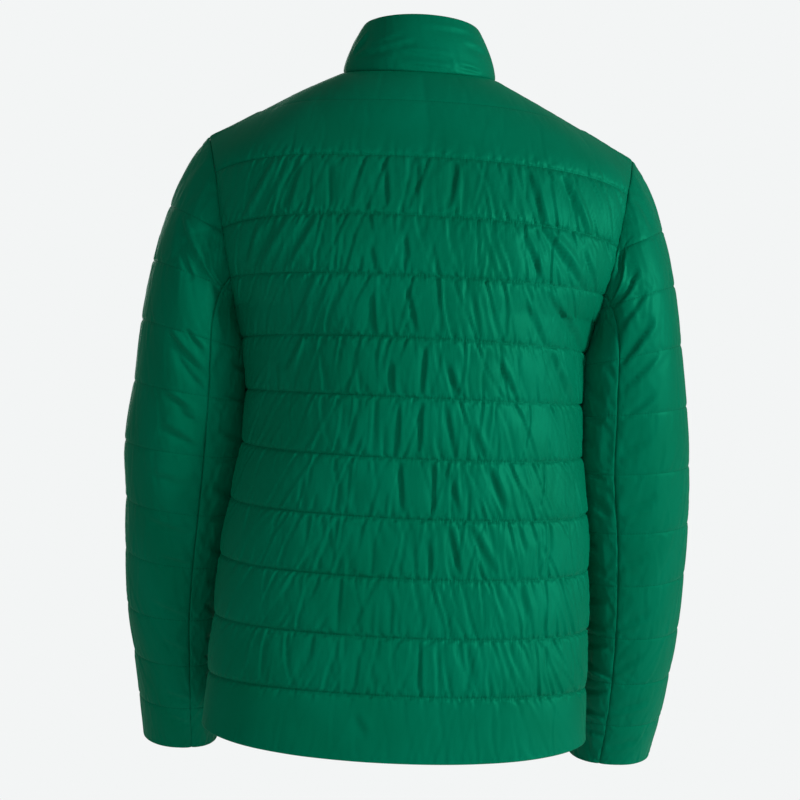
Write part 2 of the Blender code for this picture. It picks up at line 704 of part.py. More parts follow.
def at_distance(distance, values, at):
    return np.stack([np.interp(at, distance, values[:, k]) for k in range(3)], -1)


def strip_between(path, normals, ways, start, end, edges, depths):
    """Four-cornered sections of a bar along a path. edges are two distances across from
    the path's points, depths two distances inwards."""
    distance, at = along_path(path, start, end)
    centre = at_distance(distance, path, at)
    normal = unit(at_distance(distance, normals, at))
    way = unit(at_distance(distance, ways, at))
    corners = []
    for edge, depth in ((0, 0), (1, 0), (1, 1), (0, 1)):
        corners.append(centre + way * edges[edge] - normal * depths[depth])
    return np.stack(corners, 1)


def tube_mesh(name, sections, finish):
    """A closed solid through sections of equal numbers of corners."""
    count, corners = sections.shape[:2]
    points = sections.reshape(-1, 3)
    faces = [list(range(corners))[::-1], [(count - 1) * corners + k for k in range(corners)]]
    for row in range(count - 1):
        for k in range(corners):
            a, b = row * corners + k, row * corners + (k + 1) % corners
            faces.append([a, b, b + corners, a + corners])
    return solid(name, points, faces, finish)


# --- Solids ------------------------------------------------------------------------------


def solid(name, points, faces, finish):
    """One closed body from points in millimetres."""
    mesh = bpy.data.meshes.new(name)
    mesh.from_pydata([tuple(point) for point in np.asarray(points) * MM], [], faces)
    made = bmesh.new()
    made.from_mesh(mesh)
    bmesh.ops.recalc_face_normals(made, faces=made.faces)
    if made.calc_volume(signed=True) < 0:
        bmesh.ops.reverse_faces(made, faces=made.faces)
    made.to_mesh(mesh)
    made.free()
    mesh.shade_smooth()
    mesh.set_sharp_from_angle(angle=math.radians(50))
    mesh.materials.append(material(*finish))
    thing = bpy.data.objects.new(name, mesh)
    bpy.context.scene.collection.objects.link(thing)
    return thing


def ribbon(faces, above, below):
    """Faces between two runs of points, which may differ in number."""
    i = j = 0
    last_i, last_j = len(above) - 1, len(below) - 1
    while i < last_i or j < last_j:
        if last_i == last_j:
            faces.append([above[i], above[i + 1], below[j + 1], below[j]])
            i, j = i + 1, j + 1
        elif j == last_j or (i < last_i and (2 * i + 1) * last_j <= (2 * j + 1) * last_i):
            faces.append([above[i], above[i + 1], below[j]])
            i += 1
        else:
            faces.append([above[i], below[j + 1], below[j]])
            j += 1


def wall_solid(name, outer, inner, kept, finish, top=None):
    """A cloth wall. The inside has only the kept rows away from the panel's side edges.
    top gives the outer and inner points of a top edge that is finer than the columns."""
    rows, columns = outer.shape[:2]
    last = columns - 1
    points = [p for row in outer for p in row]
    out = [[r * columns + c for c in range(columns)] for r in range(rows)]
    number = {}
    for r in range(rows):
        for c in range(columns):
            if r in kept or c in (0, last):
                number[r, c] = len(points)
                points.append(inner[r, c])
    inner_top = [number[0, c] for c in range(columns)]
    if top is not None:
        out[0] = list(range(len(points), len(points) + len(top[0])))
        points += list(top[0])
        inner_top = list(range(len(points), len(points) + len(top[1])))
        points += list(top[1])
        number[0, 0], number[0, last] = inner_top[0], inner_top[-1]
    faces = []
    for r in range(rows - 1):
        ribbon(faces, out[r], out[r + 1])
        ribbon(faces, [out[r + 1][0], out[r][0]], [number[r + 1, 0], number[r, 0]])
        ribbon(faces, [out[r][-1], out[r + 1][-1]], [number[r, last], number[r + 1, last]])
    ribbon(faces, inner_top, out[0])
    ribbon(faces, out[-1], [number[rows - 1, c] for c in range(columns)])
    for above, below in zip(kept, kept[1:]):
        low = [number[below, c] for c in range(1, last)]
        if above == 0 and top is not None:
            start = [number[r, 0] for r in range(below, 0, -1)]
            end = [number[r, last] for r in range(1, below + 1)]
            fan(faces, points, start + inner_top + end, low)
            continue
        ribbon(faces, low, [number[above, c] for c in range(1, last)])
        left = [number[r, 0] for r in range(above, below + 1)]
        right = [number[r, last] for r in range(above, below + 1)]
        ribbon(faces, left, [number[above, 1], number[below, 1]])
        ribbon(faces, [number[above, last - 1], number[below, last - 1]], right)
    used = sorted({k for face in faces for k in face})
    place = {k: n for n, k in enumerate(used)}
    return solid(
        name, [points[k] for k in used], [[place[k] for k in face] for face in faces], finish
    )


def fan(faces, points, above, below):
    """Triangles between two runs of points, each new one joined across the shorter way."""
    i = j = 0
    where = np.asarray(points)
    while i < len(above) - 1 or j < len(below) - 1:
        ahead_i = i < len(above) - 1
        ahead_j = j < len(below) - 1
        if ahead_i and ahead_j:
            span_i = np.linalg.norm(where[above[i + 1]] - where[below[j]])
            span_j = np.linalg.norm(where[above[i]] - where[below[j + 1]])
            ahead_i = span_i <= span_j
        if ahead_i:
            faces.append([above[i], above[i + 1], below[j]])
            i += 1
        else:
            faces.append([above[i], below[j + 1], below[j]])
            j += 1


def box(name, low, high, finish):
    corners = [[(low, high)[(k >> axis) & 1][axis] for axis in range(3)] for k in range(8)]
    faces = [[0, 2, 3, 1], [4, 5, 7, 6], [0, 1, 5, 4], [2, 6, 7, 3], [0, 4, 6, 2], [1, 3, 7, 5]]
    return solid(name, corners, faces, finish)


def join(target, other, operation):
    """A live Boolean with a helper that is left out of the render."""
    other.hide_render = True
    other.display_type = "WIRE"
    cut = target.modifiers.new(operation.lower(), "BOOLEAN")
    cut.operation = operation
    cut.object = other
    cut.solver = "EXACT"


def zip_pieces():
    points, normals, ways, middle = zip_path()
    tape = WALL + TAPE_GAP
    for side, label in ((1, "left"), (-1, "right")):
        mirror = np.array([side, 1.0, 1.0])
        lean = middle * np.array([1.0, 0.0, 0.0])
        edge = (points - lean) * mirror + lean
        sections = strip_between(
            edge,
            normals,
            ways * mirror,
            0.5,
            -2.0,
            (TAPE_INNER_EDGE - FRONT_EDGE, TAPE_OUTER_EDGE - FRONT_EDGE),
            (tape, tape + TAPE_THICKNESS),
        )
        tube_mesh(f"zip_tape_{label}", sections, TAPE_GREEN)
    across = np.tile([1.0, 0.0, 0.0], (len(middle), 1))
    centre = tape + TAPE_THICKNESS / 2
    depths = (centre - CHAIN_THICKNESS / 2, centre + CHAIN_THICKNESS / 2)
    distance, _ = along_path(middle, 0, 0)
    slider_at = distance[-1] - SLIDER_BELOW_TOP
    post_low = slider_at + SLIDER_HEIGHT / 2 - POST_HEIGHT
    edges = (-CHAIN_HALF_WIDTH, CHAIN_HALF_WIDTH)
    box_depths = (depths[0] - 0.6, depths[1] + 0.6)
    chain = strip_between(middle, normals, across, 10.3, post_low - SEAM_GAP, edges, depths)
    tube_mesh("zip_chain", chain, CHAIN_GREEN)
    stop = strip_between(middle, normals, across, 1.0, 10.0, edges, box_depths)
    tube_mesh("zip_bottom_box", stop, SLIDER_METAL)
    place = at_distance(distance, middle, np.array([slider_at]))[0]
    normal = unit(at_distance(distance, normals, np.array([slider_at]))[0])
    slider(place - normal * centre, normal)


def slider(place, normal):
    """The slider round the chain, and the pull that swings on its bridge. place is the
    middle of the chain; the slider's own frame has -Y outwards and Z up the zip."""
    tilt = math.atan2(normal[2], -normal[1])
    frame = Matrix.Translation(Vector(place) * MM) @ Matrix.Rotation(-tilt, 4, "X")
    half = SLIDER_HEIGHT / 2
    gap = CHAIN_THICKNESS / 2 + SEAM_GAP
    plate = gap + SLIDER_PLATE
    wide = SLIDER_WIDTH / 2
    body = box("zip_slider", (-wide, -plate, -half), (wide, -gap, half), SLIDER_METAL)
    back = box("slider_back", (-wide, gap, -half), (wide, plate, half), SLIDER_METAL)
    post_half = POST_WIDTH / 2
    low = half - POST_HEIGHT
    post = box(
        "slider_post", (-post_half, -plate + 0.3, low), (post_half, plate - 0.3, half), SLIDER_METAL
    )
    bridge_half = BRIDGE_WIDTH / 2
    top = plate + BRIDGE_HEIGHT
    bridge_low = -BRIDGE_LENGTH / 2
    bridge = box(
        "slider_bridge",
        (-bridge_half, -top, bridge_low),
        (bridge_half, -gap - 0.4, -bridge_low),
        SLIDER_METAL,
    )
    window = box(
        "slider_window",
        (-wide, -top + BRIDGE_BAR, bridge_low + BRIDGE_BAR),
        (wide, -plate, -bridge_low - BRIDGE_BAR),
        SLIDER_METAL,
    )
    for other, operation in (
        (back, "UNION"),
        (post, "UNION"),
        (bridge, "UNION"),
        (window, "DIFFERENCE"),
    ):
        join(body, other, operation)
    for piece in (body, back, post, bridge, window):
        piece.matrix_world = frame
    hinge_depth = -(plate + (BRIDGE_HEIGHT - BRIDGE_BAR) / 2)
    hinge_height = bridge_low + BRIDGE_BAR + PULL_BAR / 2 + SEAM_GAP
    pull_half = PULL_WIDTH / 2
    thick = PULL_THICKNESS / 2
    bar = PULL_BAR / 2
    pull = box(
        "zip_pull",
        (-pull_half, -thick, bar - PULL_LENGTH),
        (pull_half, thick, bar),
        SLIDER_METAL,
    )
    eye = box(
        "pull_eye",
        (-PULL_WINDOW_WIDTH / 2, -2 * thick, -bar - PULL_WINDOW_LENGTH),
        (PULL_WINDOW_WIDTH / 2, 2 * thick, -bar),
        SLIDER_METAL,
    )
    join(pull, eye, "DIFFERENCE")
    hang = frame @ Matrix.Translation(Vector((0, hinge_depth, hinge_height)) * MM)
    for piece in (pull, eye):
        piece.matrix_world = hang


def main():
    clear_scene()
    body_kept = kept_rows(channel_rows(0, HEM_LINE), CURVED_ABOVE)
    outer, inner = body_wall(False, 0)
    wall_solid("back_panel", outer, inner, body_kept, SHELL_GREEN)
    for side, label in ((1, "left"), (-1, "right")):
        outer, inner = body_wall(True, side)
        wall_solid(f"front_panel_{label}", outer, inner, body_kept, SHELL_GREEN)
        walls, kept = sleeve_walls(side)
        for name, (outer, inner, *top) in zip(("upper", "under"), walls):
            wall_solid(f"{name}_sleeve_{label}", outer, inner, kept, SHELL_GREEN, top)
    outer, inner, _, _ = collar_walls()
    wall_solid("stand_collar", outer, inner, [0, COLLAR_ROWS // 2, COLLAR_ROWS], SHELL_GREEN)
    zip_pieces()


main()
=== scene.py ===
import math

import bmesh
import bpy
import numpy as np
from mathutils import Matrix, Vector


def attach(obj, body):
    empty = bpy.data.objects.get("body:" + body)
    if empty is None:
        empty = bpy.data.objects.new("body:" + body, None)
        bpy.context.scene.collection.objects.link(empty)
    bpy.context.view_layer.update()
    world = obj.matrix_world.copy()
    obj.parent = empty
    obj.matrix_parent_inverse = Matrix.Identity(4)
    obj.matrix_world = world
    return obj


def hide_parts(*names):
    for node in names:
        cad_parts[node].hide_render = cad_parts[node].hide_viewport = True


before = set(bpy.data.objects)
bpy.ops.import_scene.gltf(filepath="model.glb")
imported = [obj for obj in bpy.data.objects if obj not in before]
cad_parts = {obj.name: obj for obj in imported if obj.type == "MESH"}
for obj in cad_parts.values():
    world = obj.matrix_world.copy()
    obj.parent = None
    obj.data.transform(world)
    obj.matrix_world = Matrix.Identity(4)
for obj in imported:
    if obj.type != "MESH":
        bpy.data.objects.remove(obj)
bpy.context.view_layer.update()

# Quilted puffer jacket, zipped up and worn. The wearer faces -Y and their left is +X.
# Sizes in the dictionaries are in mm unless a note says otherwise.
mm = 0.001

cloth = {
    "pitch": 60.0,         # usual height of a channel between two quilting lines
    "rowsPerChannel": 24,  # even, because the armpit lies half-way down a channel
    "crowding": 0.62,      # how much closer rows lie beside a stitched line
    "insideEvery": 4,      # the plain inside keeps one row and column in so many
    "wall": 2.4,           # shell, wadding and lining pressed together at a stitched line
    "gap": 0.3,            # slit between two panels at a seam
}


# Small helpers

def unit(v):
    return v / np.maximum(np.linalg.norm(v, axis=-1, keepdims=True), 1e-9)


def smooth(x):
    x = np.clip(x, 0, 1)
    return x * x * (3 - 2 * x)


def ramp(value, low, high):
    return smooth((value - low) / (high - low))


def without(axis, v):
    # v with one of its coordinates at 0
    made = np.array(v, float)
    made[..., axis] = 0
    return made


def column(rows, names, name, at):
    # one column of a table, on a smooth curve through its rows
    table = np.array(rows, float)
    x, y = table[:, 0], table[:, names.index(name)]
    step = np.diff(x)
    rise = np.diff(y) / step
    slope = np.empty_like(y)
    slope[0], slope[-1] = rise[0], rise[-1]
    slope[1:-1] = (rise[:-1] * step[1:] + rise[1:] * step[:-1]) / (step[:-1] + step[1:])
    at = np.clip(at, x[0], x[-1])
    k = np.clip(np.searchsorted(x, at, side="right") - 1, 0, len(step) - 1)
    t = (at - x[k]) / step[k]
    return (
        y[k] * (1 + 2 * t) * (1 - t) ** 2
        + slope[k] * step[k] * t * (1 - t) ** 2
        + y[k + 1] * t * t * (3 - 2 * t)
        + slope[k + 1] * step[k] * t * t * (t - 1)
    )


def bezier(a, b, c, d, t):
    t = np.asarray(t, float)[..., None]
    return a * (1 - t) ** 3 + 3 * b * t * (1 - t) ** 2 + 3 * c * t * t * (1 - t) + d * t**3


def leavingCurve(start, leave, end, below):
    # leaves its start in one direction and ends in line with the point below its end
    reach = body["handle"] * np.linalg.norm(end - start)
    arrive = unit(end - below) * reach
    return bezier(start, start + unit(leave) * reach, end + arrive, end, np.linspace(0, 1, 401))


def along(curve, share):
    # points at shares of a finely divided curve's parameter
    at = np.clip(share, 0, 1) * (len(curve) - 1)
    low = np.clip(at.astype(int), 0, len(curve) - 2)
    return curve[low] + (curve[low + 1] - curve[low]) * (at - low)[:, None]


def rowShares(count):
    # rows of one channel, closer together beside its stitched lines
    share = np.arange(count) / count
    return np.round(share - cloth["crowding"] * np.sin(2 * math.pi * share) / (2 * math.pi), 9)


def evenCount(length, step):
    return 2 * round(length / step / 2)


def gridNormals(grid, closed=False):
    around = np.roll(grid, -1, 1) - np.roll(grid, 1, 1) if closed else np.gradient(grid, axis=1)
    return unit(np.cross(np.gradient(grid, axis=0), around))


# Body: back and fronts, quilting lines numbered from the top seam, 0, to the hem, 12

body = {
    "neckHalfWidth": 79.0, "neckBack": 58.0, "neckFront": 84.0,
    "neckLevel": 6.0, "neckFrontDrop": 60.0, "neckCurve": 1.4,
    "shoulderSlope": 0.47, "shoulderCurve": 0.00043,
    "neckShare": 5 / 13,     # share of half a panel's width that starts at the neck seam
    "frontEdge": 5.2,        # half of what the zip takes at centre front
    "roundness": 0.56, "handle": 0.36,
    "firstLine": -27.0, "firstLineDrop": 24.0, "leastFirst": 0.2,
    "cornerLean": 0.6, "cornerWidth": 4 / 13,
    "armholeLean": 0.45, "armholeBlend": 2 / 13,
    "armpit": 4.5, "hem": 12, "yokeRows": (14, 24),
    "puff": 4.5, "backStep": 1.6, "frontStep": 2.3,   # spacing of the outside's columns
    "faint": {1: 0.4, 12: 0.0},   # lines that are sewn less deep, and how deep
    "gather": 1.3, "smoothLeft": 0.5,   # of the back
    "yokePuff": 0.35, "yokeTo": (1.5, 2.1),   # the yoke above line 2 is hardly padded
    "channel": 61.0,         # height of a whole channel
    "halfRound": 260.0,      # half a panel's width, for the number of its columns
    # ways outward and down in which the cloth leaves the shoulder seam and the neck seam, and
    # the line that it heads for below the yoke
    "shoulderLeave": (1.0, -0.3), "neckLeave": (0.75, -0.8), "yokeAim": 2.3,
    "swayFrom": 1.5,         # lines below the armpit at which the body's sway is whole
}
# What is uneven in the worn jacket: how far it moves, and from where to where that sets in
worn = {
    "neckLean": 6.5, "neckZ": (-60, 10), "neckY": (-70, 20),
    "shoulderLift": 2.6, "shoulderX": (70, 140), "shoulderZ": (-170, -80),
    "capOut": 1.4, "capX": (208, 248), "capLowZ": (-330, -250), "capHighZ": (-60, -100),
}
# level and frontLevel are heights at centre back and centre front, back and front are depths
bodyNames = ("line", "level", "frontLevel", "back", "front", "sway")
bodyRows = (
    (2, -86, -92, 108, -97, 0), (3, -147, -150, 128, -113, 0), (4, -208, -210, 136, -122, -1),
    (5, -271, -272, 136, -125, -2), (6, -331, -332, 131, -125, -3), (7, -393, -392, 126, -125, -3),
    (8, -454, -451, 122, -125, -2), (9, -515, -511, 120, -125, 0), (10, -575, -571, 120, -125, 1),
    (11, -634, -631, 120, -124, 2), (12, -702, -692, 118, -122, 3),
)
armholeNames = ("line", "x", "yBack", "yFront", "z", "turn")
armholeRows = (
    (0, 223.5, 0, 0, -71, 30), (1, 222.5, 9, -8, -73.5, 32), (1.5, 219.5, 29, -26, -87, 36),
    (2, 214.5, 46, -42, -110, 42), (3, 204.5, 60, -55, -166, 54), (4, 194, 54, -50, -216, 66),
    (4.1667, 191, 45, -38, -230, 72), (4.3333, 189, 31, -14, -240, 78), (4.5, 188, 15, 15, -244, 84),
)
sideNames = ("line", "x", "y", "z", "turn")
sideRows = (
    (4.5, 188, 15, -244, 84), (5, 179, 17, -277, 88), (6, 173.5, 20, -330, 92),
    (7, 175.5, 24, -384, 94), (8, 184, 28, -442, 95), (9, 189.5, 32, -500, 96),
    (10, 192, 35, -562, 97), (11, 194, 37, -622, 98), (12, 196, 38, -673, 98),
)


def armholePoint(line, front):
    line = np.asarray(line, float)
    y = column(armholeRows, armholeNames, "yFront" if front else "yBack", line)
    x = column(armholeRows, armholeNames, "x", line)
    return np.stack([x, y, column(armholeRows, armholeNames, "z", line)], -1)


def armholeFrame(line, front):
    # way that the cloth faces on the armhole seam, and the way from body to sleeve
    ahead = armholePoint(min(line + 0.05, body["armpit"]), front)
    behind = armholePoint(max(line - 0.05, 0), front)
    run = unit(ahead - behind)
    if line in (0, body["armpit"]):
        run = np.array([0.0, -1.0 if front else 1.0, 0.0]) * (1 if line == 0 else -1)
    radial = unit(np.cross(run, (1.0, 0.0, 0.0)) * (1 if front else -1))
    lean = body["armholeLean"] * max(0.0, radial[2])
    outward = unit(radial + np.array([lean, 0.0, 0.0]))
    across = unit(np.cross(run, outward))
    return outward, across * np.sign(across[0])


def shoulderPoint(share):
    run = (armholeRows[0][1] - body["neckHalfWidth"]) * np.asarray(share, float)
    drop = body["shoulderSlope"] * run + body["shoulderCurve"] * run**2
    return np.stack([body["neckHalfWidth"] + run, 0 * run, body["neckLevel"] - drop], -1)


def neckPoint(share, front):
    turn = np.asarray(share, float) * math.pi / 2
    half, edge = body["neckHalfWidth"], body["frontEdge"]
    if front:
        level = body["neckLevel"] - body["neckFrontDrop"] * np.cos(turn) ** body["neckCurve"]
        x, y = edge + (half - edge) * np.sin(turn), -body["neckFront"] * np.cos(turn)
        return np.stack([x, y, level], -1)
    level = np.full_like(turn, body["neckLevel"])
    return np.stack([half * np.sin(turn), body["neckBack"] * np.cos(turn), level], -1)


def neckRim(points):
    # way that the walls' thickness runs where the body and the collar meet
    return unit(unit(without(2, points)) * 0.85 + np.array([0.0, 0.0, 0.5]))


def topEdge(across, front):
    # the neck seam, then the shoulder seam
    share = body["neckShare"]
    neck = neckPoint(np.clip(across / share, 0, 1), front)
    shoulder = shoulderPoint(np.clip((across - share) / (1 - share), 0, 1))
    return np.where((across < share)[:, None], neck, shoulder)


def sideEnd(line, front):
    if line <= body["armpit"]:
        return armholePoint(line, front), column(armholeRows, armholeNames, "turn", line)
    x, y, z, turn = (column(sideRows, sideNames, name, line) for name in sideNames[1:])
    return np.array([x, y, z]), 180 - turn if front else turn


def leaned(points):
    # the collar sits a little to the left at the back, and true to the zip at the front; the left
    # shoulder and the cap of its sleeve are the fuller ones
    x, y, z = np.moveaxis(points, -1, 0)
    made = points.copy()
    neck = ramp(z, *worn["neckZ"]) * ramp(y, *worn["neckY"])
    cap = ramp(x, *worn["capX"]) * ramp(z, *worn["capLowZ"]) * ramp(z, *worn["capHighZ"])
    made[..., 0] += worn["neckLean"] * neck + worn["capOut"] * cap
    made[..., 2] += worn["shoulderLift"] * ramp(x, *worn["shoulderX"]) * ramp(z, *worn["shoulderZ"])
    return made


def swayAt(lines):
    lean = column(bodyRows, bodyNames, "sway", np.asarray(lines, float))
    return lean * np.clip((np.asarray(lines) - body["armpit"]) / body["swayFrom"], 0, 1)


def bodyRow(line, front, across):
    depth, level = (
        column(bodyRows, bodyNames, name, line)
        for name in (("front", "frontLevel") if front else ("back", "level"))
    )
    end, turn = sideEnd(line, front)
    sign = -1.0 if front else 1.0
    arm = math.radians(turn)
    toward = np.array([math.cos(arm), -sign * math.sin(arm)])
    a = np.array([body["frontEdge"] if front else 0.0, depth])
    d = end[:2]
    b = a + np.array([body["roundness"] * (d[0] - a[0]), 0.0])
    c = d - toward * body["roundness"] * abs(depth - d[1])
    plan = bezier(a, b, c, d, across)
    return np.concatenate([plan, (end[2] + (level - end[2]) * (1 - across**2))[:, None]], 1)


def bodyLines():
    first, second = body["yokeRows"]
    usual = rowShares(cloth["rowsPerChannel"])
    parts = [rowShares(first), 1 + rowShares(second)]
    parts += [channel + usual for channel in range(2, body["hem"])] + [[body["hem"]]]
    return np.concatenate(parts)


def bodyHalf(front, columns):
    # points of half a panel [row, column], and each row's real line number there, which
    # differs from the grid's where the first quilting line runs out into the shoulder
    lines = bodyLines()
    across = np.arange(columns + 1) / columns
    top = topEdge(across, front)
    yoke = sum(body["yokeRows"])
    grid = np.zeros((len(lines), columns + 1, 3))
    for row in range(yoke, len(lines)):
        grid[row] = bodyRow(lines[row], front, across)
    below = bodyRow(body["yokeAim"], front, across)
    sign = -1.0 if front else 1.0
    armhole = armholePoint(lines[:yoke], front)
    real = np.repeat(lines[:, None], columns + 1, 1)
    width = np.full(real.shape, body["channel"])
    for j in range(columns, -1, -1):
        neckward = max(0.0, 1 - across[j] / body["neckShare"])
        past = max(0.0, across[j] - body["neckShare"]) / body["cornerWidth"]
        aside = body["cornerLean"] * max(0.0, math.sin(math.pi / 2 * (1 - neckward)) * (1 - past))
        leaves = zip(body["shoulderLeave"], body["neckLeave"])
        outward, down = (shoulder + (neck - shoulder) * neckward for shoulder, neck in leaves)
        leave = np.array([aside, sign * outward, down])
        curve = leavingCurve(top[j], leave, grid[yoke, j], below[j])
        level = body["firstLine"] - body["firstLineDrop"] * across[j] ** 2
        crossed = np.nonzero(curve[:, 2] <= level)[0]
        found = crossed[0] / (len(curve) - 1) if len(crossed) else 1.0
        used = max(found, body["leastFirst"])
        upper = lines[:yoke]
        share = np.where(upper < 1, used * upper, used + (1 - used) * (upper - 1))
        grid[:yoke, j] = along(curve, share)
        if j == columns:
            pull = armhole - grid[:yoke, j]
        grid[:yoke, j] += pull * smooth(1 - (1 - across[j]) / body["armholeBlend"])
        total = np.linalg.norm(np.diff(grid[: yoke + 1, j], axis=0), axis=1).sum()
        found = max(found, 1e-3)
        real[:yoke, j] = np.where(share < found, share / found, 1 + (share - found) / (1 - found))
        width[:yoke, j] = total * np.where(share < found, found, 1 - found)
    return grid, real, width


# Sleeves: lines 0 to 3 slope across the cap, then whole rings down to the cuff, 11

sleeve = {
    "squareness": 2.25, "radius": 60.0, "channel": 58.0, "step": 2.0,
    "puff": 2.5, "dig": 1.4, "gather": 0.4, "innerFlat": 0.5,
    "faint": {"upper": 0.6, "under": 0.8},
    "seamTurn": 106.0,       # degrees from the outermost point round to the sleeve's seams
    "leave": (0.62, 0.32, -0.8), "outerLean": 0.12, "capAim": 3.3,
    "tuck": 0.92, "tuckFrom": (100.0, 170.0),   # pressed to the body between these turns
    "slitEnds": (8.8, 9.6),   # the slit at a seam closes between these lines, or light shows
    "cuff": 11, "capRows": (20, 22, 24), "leastCap": 0.12,
    "turnToLine": ((0, 0.0), (1, 7.0), (2, 40.0), (3, 76.0), (4, 106.0), (4.5, 180.0)),
    "capLines": ((259.0, -142.6, 0.5), (272.0, -200.4, 0.36)),  # x, z there, slope
}
sleeveNames = ("line", "xOut", "zOut", "xIn", "zIn", "y", "halfDepth", "dip", "spread")
sleeveRows = (
    (3, 282, -262, 175, -289, -2, 68, -0.02, 0), (4, 290.5, -326, 171, -341, -9, 65, -0.06, 1.5),
    (5, 297.5, -388, 170, -398, -19, 62, -0.12, 1.5), (6, 297.5, -448, 177, -457, -31, 58, -0.18, 5),
    (7, 297, -502, 183, -511, -43, 55, -0.23, 6), (8, 294, -561, 187, -565, -56, 51, -0.26, 7),
    (9, 287, -611, 188, -614, -68, 47, -0.28, 9), (10, 280.5, -659, 188, -661, -81, 43.5, -0.28, 9.5),
    (11, 272.5, -704, 188, -705, -93, 39, -0.28, 8.5),
)


def sleeveRing(line, turns, side):
    xOut, zOut, xIn, zIn, y, halfDepth, dip, spread = (
        column(sleeveRows, sleeveNames, name, line) for name in sleeveNames[1:]
    )
    arm = np.radians(turns)
    out = np.sign(np.cos(arm)) * np.abs(np.cos(arm)) ** (2 / sleeve["squareness"])
    back = np.sign(np.sin(arm)) * np.abs(np.sin(arm)) ** (2 / sleeve["squareness"])
    xOut = xOut - side * spread
    xIn = xIn + (spread if side < 0 else 0.0)
    middle = np.array([(xOut + xIn) / 2, y, (zOut + zIn) / 2])
    half = np.array([(xOut - xIn) / 2, 0.0, (zOut - zIn) / 2])
    return middle + out[:, None] * half + back[:, None] * np.array([0.0, 1.0, dip]) * halfDepth


def capStart(turn):
    # line on the armhole where a column starts, on the front or not, and how far round it is
    table = np.array(sleeve["turnToLine"])
    turn = (turn + 180) % 360 - 180
    return float(np.interp(abs(turn), table[:, 1], table[:, 0])), turn < 0, abs(turn)


def sleeveLines():
    parts = [channel + rowShares(count) for channel, count in enumerate(sleeve["capRows"])]
    usual = rowShares(cloth["rowsPerChannel"])
    parts += [channel + usual for channel in range(3, sleeve["cuff"])] + [[sleeve["cuff"]]]
    return np.concatenate(parts)


def sleeveGrid(turns, side):
    lines = sleeveLines()
    grid = np.zeros((len(lines), len(turns), 3))
    cap = sum(sleeve["capRows"])
    for row in range(cap, len(lines)):
        grid[row] = sleeveRing(lines[row], turns, side)
    real = np.repeat(lines[:, None], len(turns), 1)
    width = np.full(real.shape, sleeve["channel"])
    out, deep, down = sleeve["leave"]
    for j, turn in enumerate(turns):
        line, front, far = capStart(turn)
        arm = math.radians(turn)
        tucked = 1 - sleeve["tuck"] * ramp(far, *sleeve["tuckFrom"])
        aside = (out - sleeve["outerLean"] * math.cos(arm)) * tucked
        leave = np.array([aside, deep * math.sin(arm), down])
        below = sleeveRing(sleeve["capAim"], np.array([turn]), side)[0]
        curve = leavingCurve(armholePoint(line, front), leave, grid[cap, j], below)
        total = np.linalg.norm(np.diff(curve, axis=0), axis=1).sum()
        found = [0.0]
        for x, z, slope in sleeve["capLines"]:
            under = np.nonzero(curve[:, 2] <= z - slope * (x - curve[:, 0]))[0]
            found.append(max(under[0] / (len(curve) - 1) if len(under) else 1.0, found[-1]))
        least = sleeve["leastCap"]
        second = min(max(found[2], 2 * least), 1 - least)
        used = [0.0, min(max(found[1], least), second - least), second, 1.0]
        found = np.array([0.0, min(found[1], 0.998), min(found[2], 0.999), 1.0])
        share = np.interp(lines[:cap], [0, 1, 2, 3], used)
        grid[:cap, j] = along(curve, share)
        channel = np.clip(np.searchsorted(found, share, side="right") - 1, 0, 2)
        span = np.maximum(found[channel + 1] - found[channel], 1e-3)
        real[:cap, j] = channel + np.clip((share - found[channel]) / span, 0, 1)
        width[:cap, j] = total * span
    return grid, real, width


# Panels: a grid of points with what the padding needs to know at each

def distances(points, axis):
    steps = np.linalg.norm(np.diff(points, axis=axis), axis=2)
    start = np.zeros_like(steps[:1] if axis == 0 else steps[:, :1])
    return np.concatenate([start, np.cumsum(steps, axis=axis)], axis=axis)


def bodyPanel(front, side):
    # side is 0 for the whole back, 1 for the wearer's left front and -1 for the right
    columns = evenCount(body["halfRound"], body["frontStep"] if front else body["backStep"])
    half, real, width = bodyHalf(front, columns)
    lines = bodyLines()
    armpit, share = body["armpit"], body["neckShare"]
    across = np.arange(columns + 1) / columns
    normals = gridNormals(half) * (1.0 if front else -1.0)
    normals[:, 0] = unit(without(0, normals[:, 0]))
    rim = normals.copy()       # way that the wall's thickness runs, mitred at shared seams
    gap = np.zeros_like(half)
    away = np.array([0.0, -1.0 if front else 1.0, 0.0])
    top = topEdge(across, front)
    onNeck = across <= share + 1e-9
    onShoulder = unit(np.array([body["shoulderSlope"], 0.0, 1.0]))
    rim[0] = np.where(onNeck[:, None], neckRim(top), onShoulder)
    run = unit(np.gradient(top, axis=0))
    down = unit(np.cross(rim[0], run))
    gap[0] = np.where(onNeck[:, None], down * -np.sign(down[:, 2:3]), away)
    for row, line in enumerate(lines):
        if line <= armpit:
            rim[row, -1], outOfBody = armholeFrame(line, front)
            gap[row, -1] -= outOfBody
        else:
            turn = math.radians(column(sideRows, sideNames, "turn", line))
            rim[row, -1] = (math.sin(turn), math.cos(turn), 0.0)
        if line >= armpit:
            gap[row, -1] += away
    around = distances(half, 1)
    parts = []
    for sign in ((side,) if side else (-1, 1)):
        turned = np.array([float(sign), 1.0, 1.0])
        base = (half + gap * cloth["gap"] / 2) * turned
        base[:, :, 0] += swayAt(lines)[:, None]
        base = leaned(base)
        parts.append({
            "grid": base, "normal": normals * turned, "rim": rim * turned, "line": real,
            "width": width, "around": around * sign, "toSeam": around[:, -1:] - around,
            "toFront": around if front else np.full_like(around, 1e3),
        })
    made = parts[0]
    if not side:
        right, left = parts
        made = {k: np.concatenate([right[k][:, :0:-1], left[k]], 1) for k in left}
    elif side < 0:
        made = {k: v[:, ::-1] for k, v in made.items()}
    made["down"] = distances(made["grid"], 0)
    return made


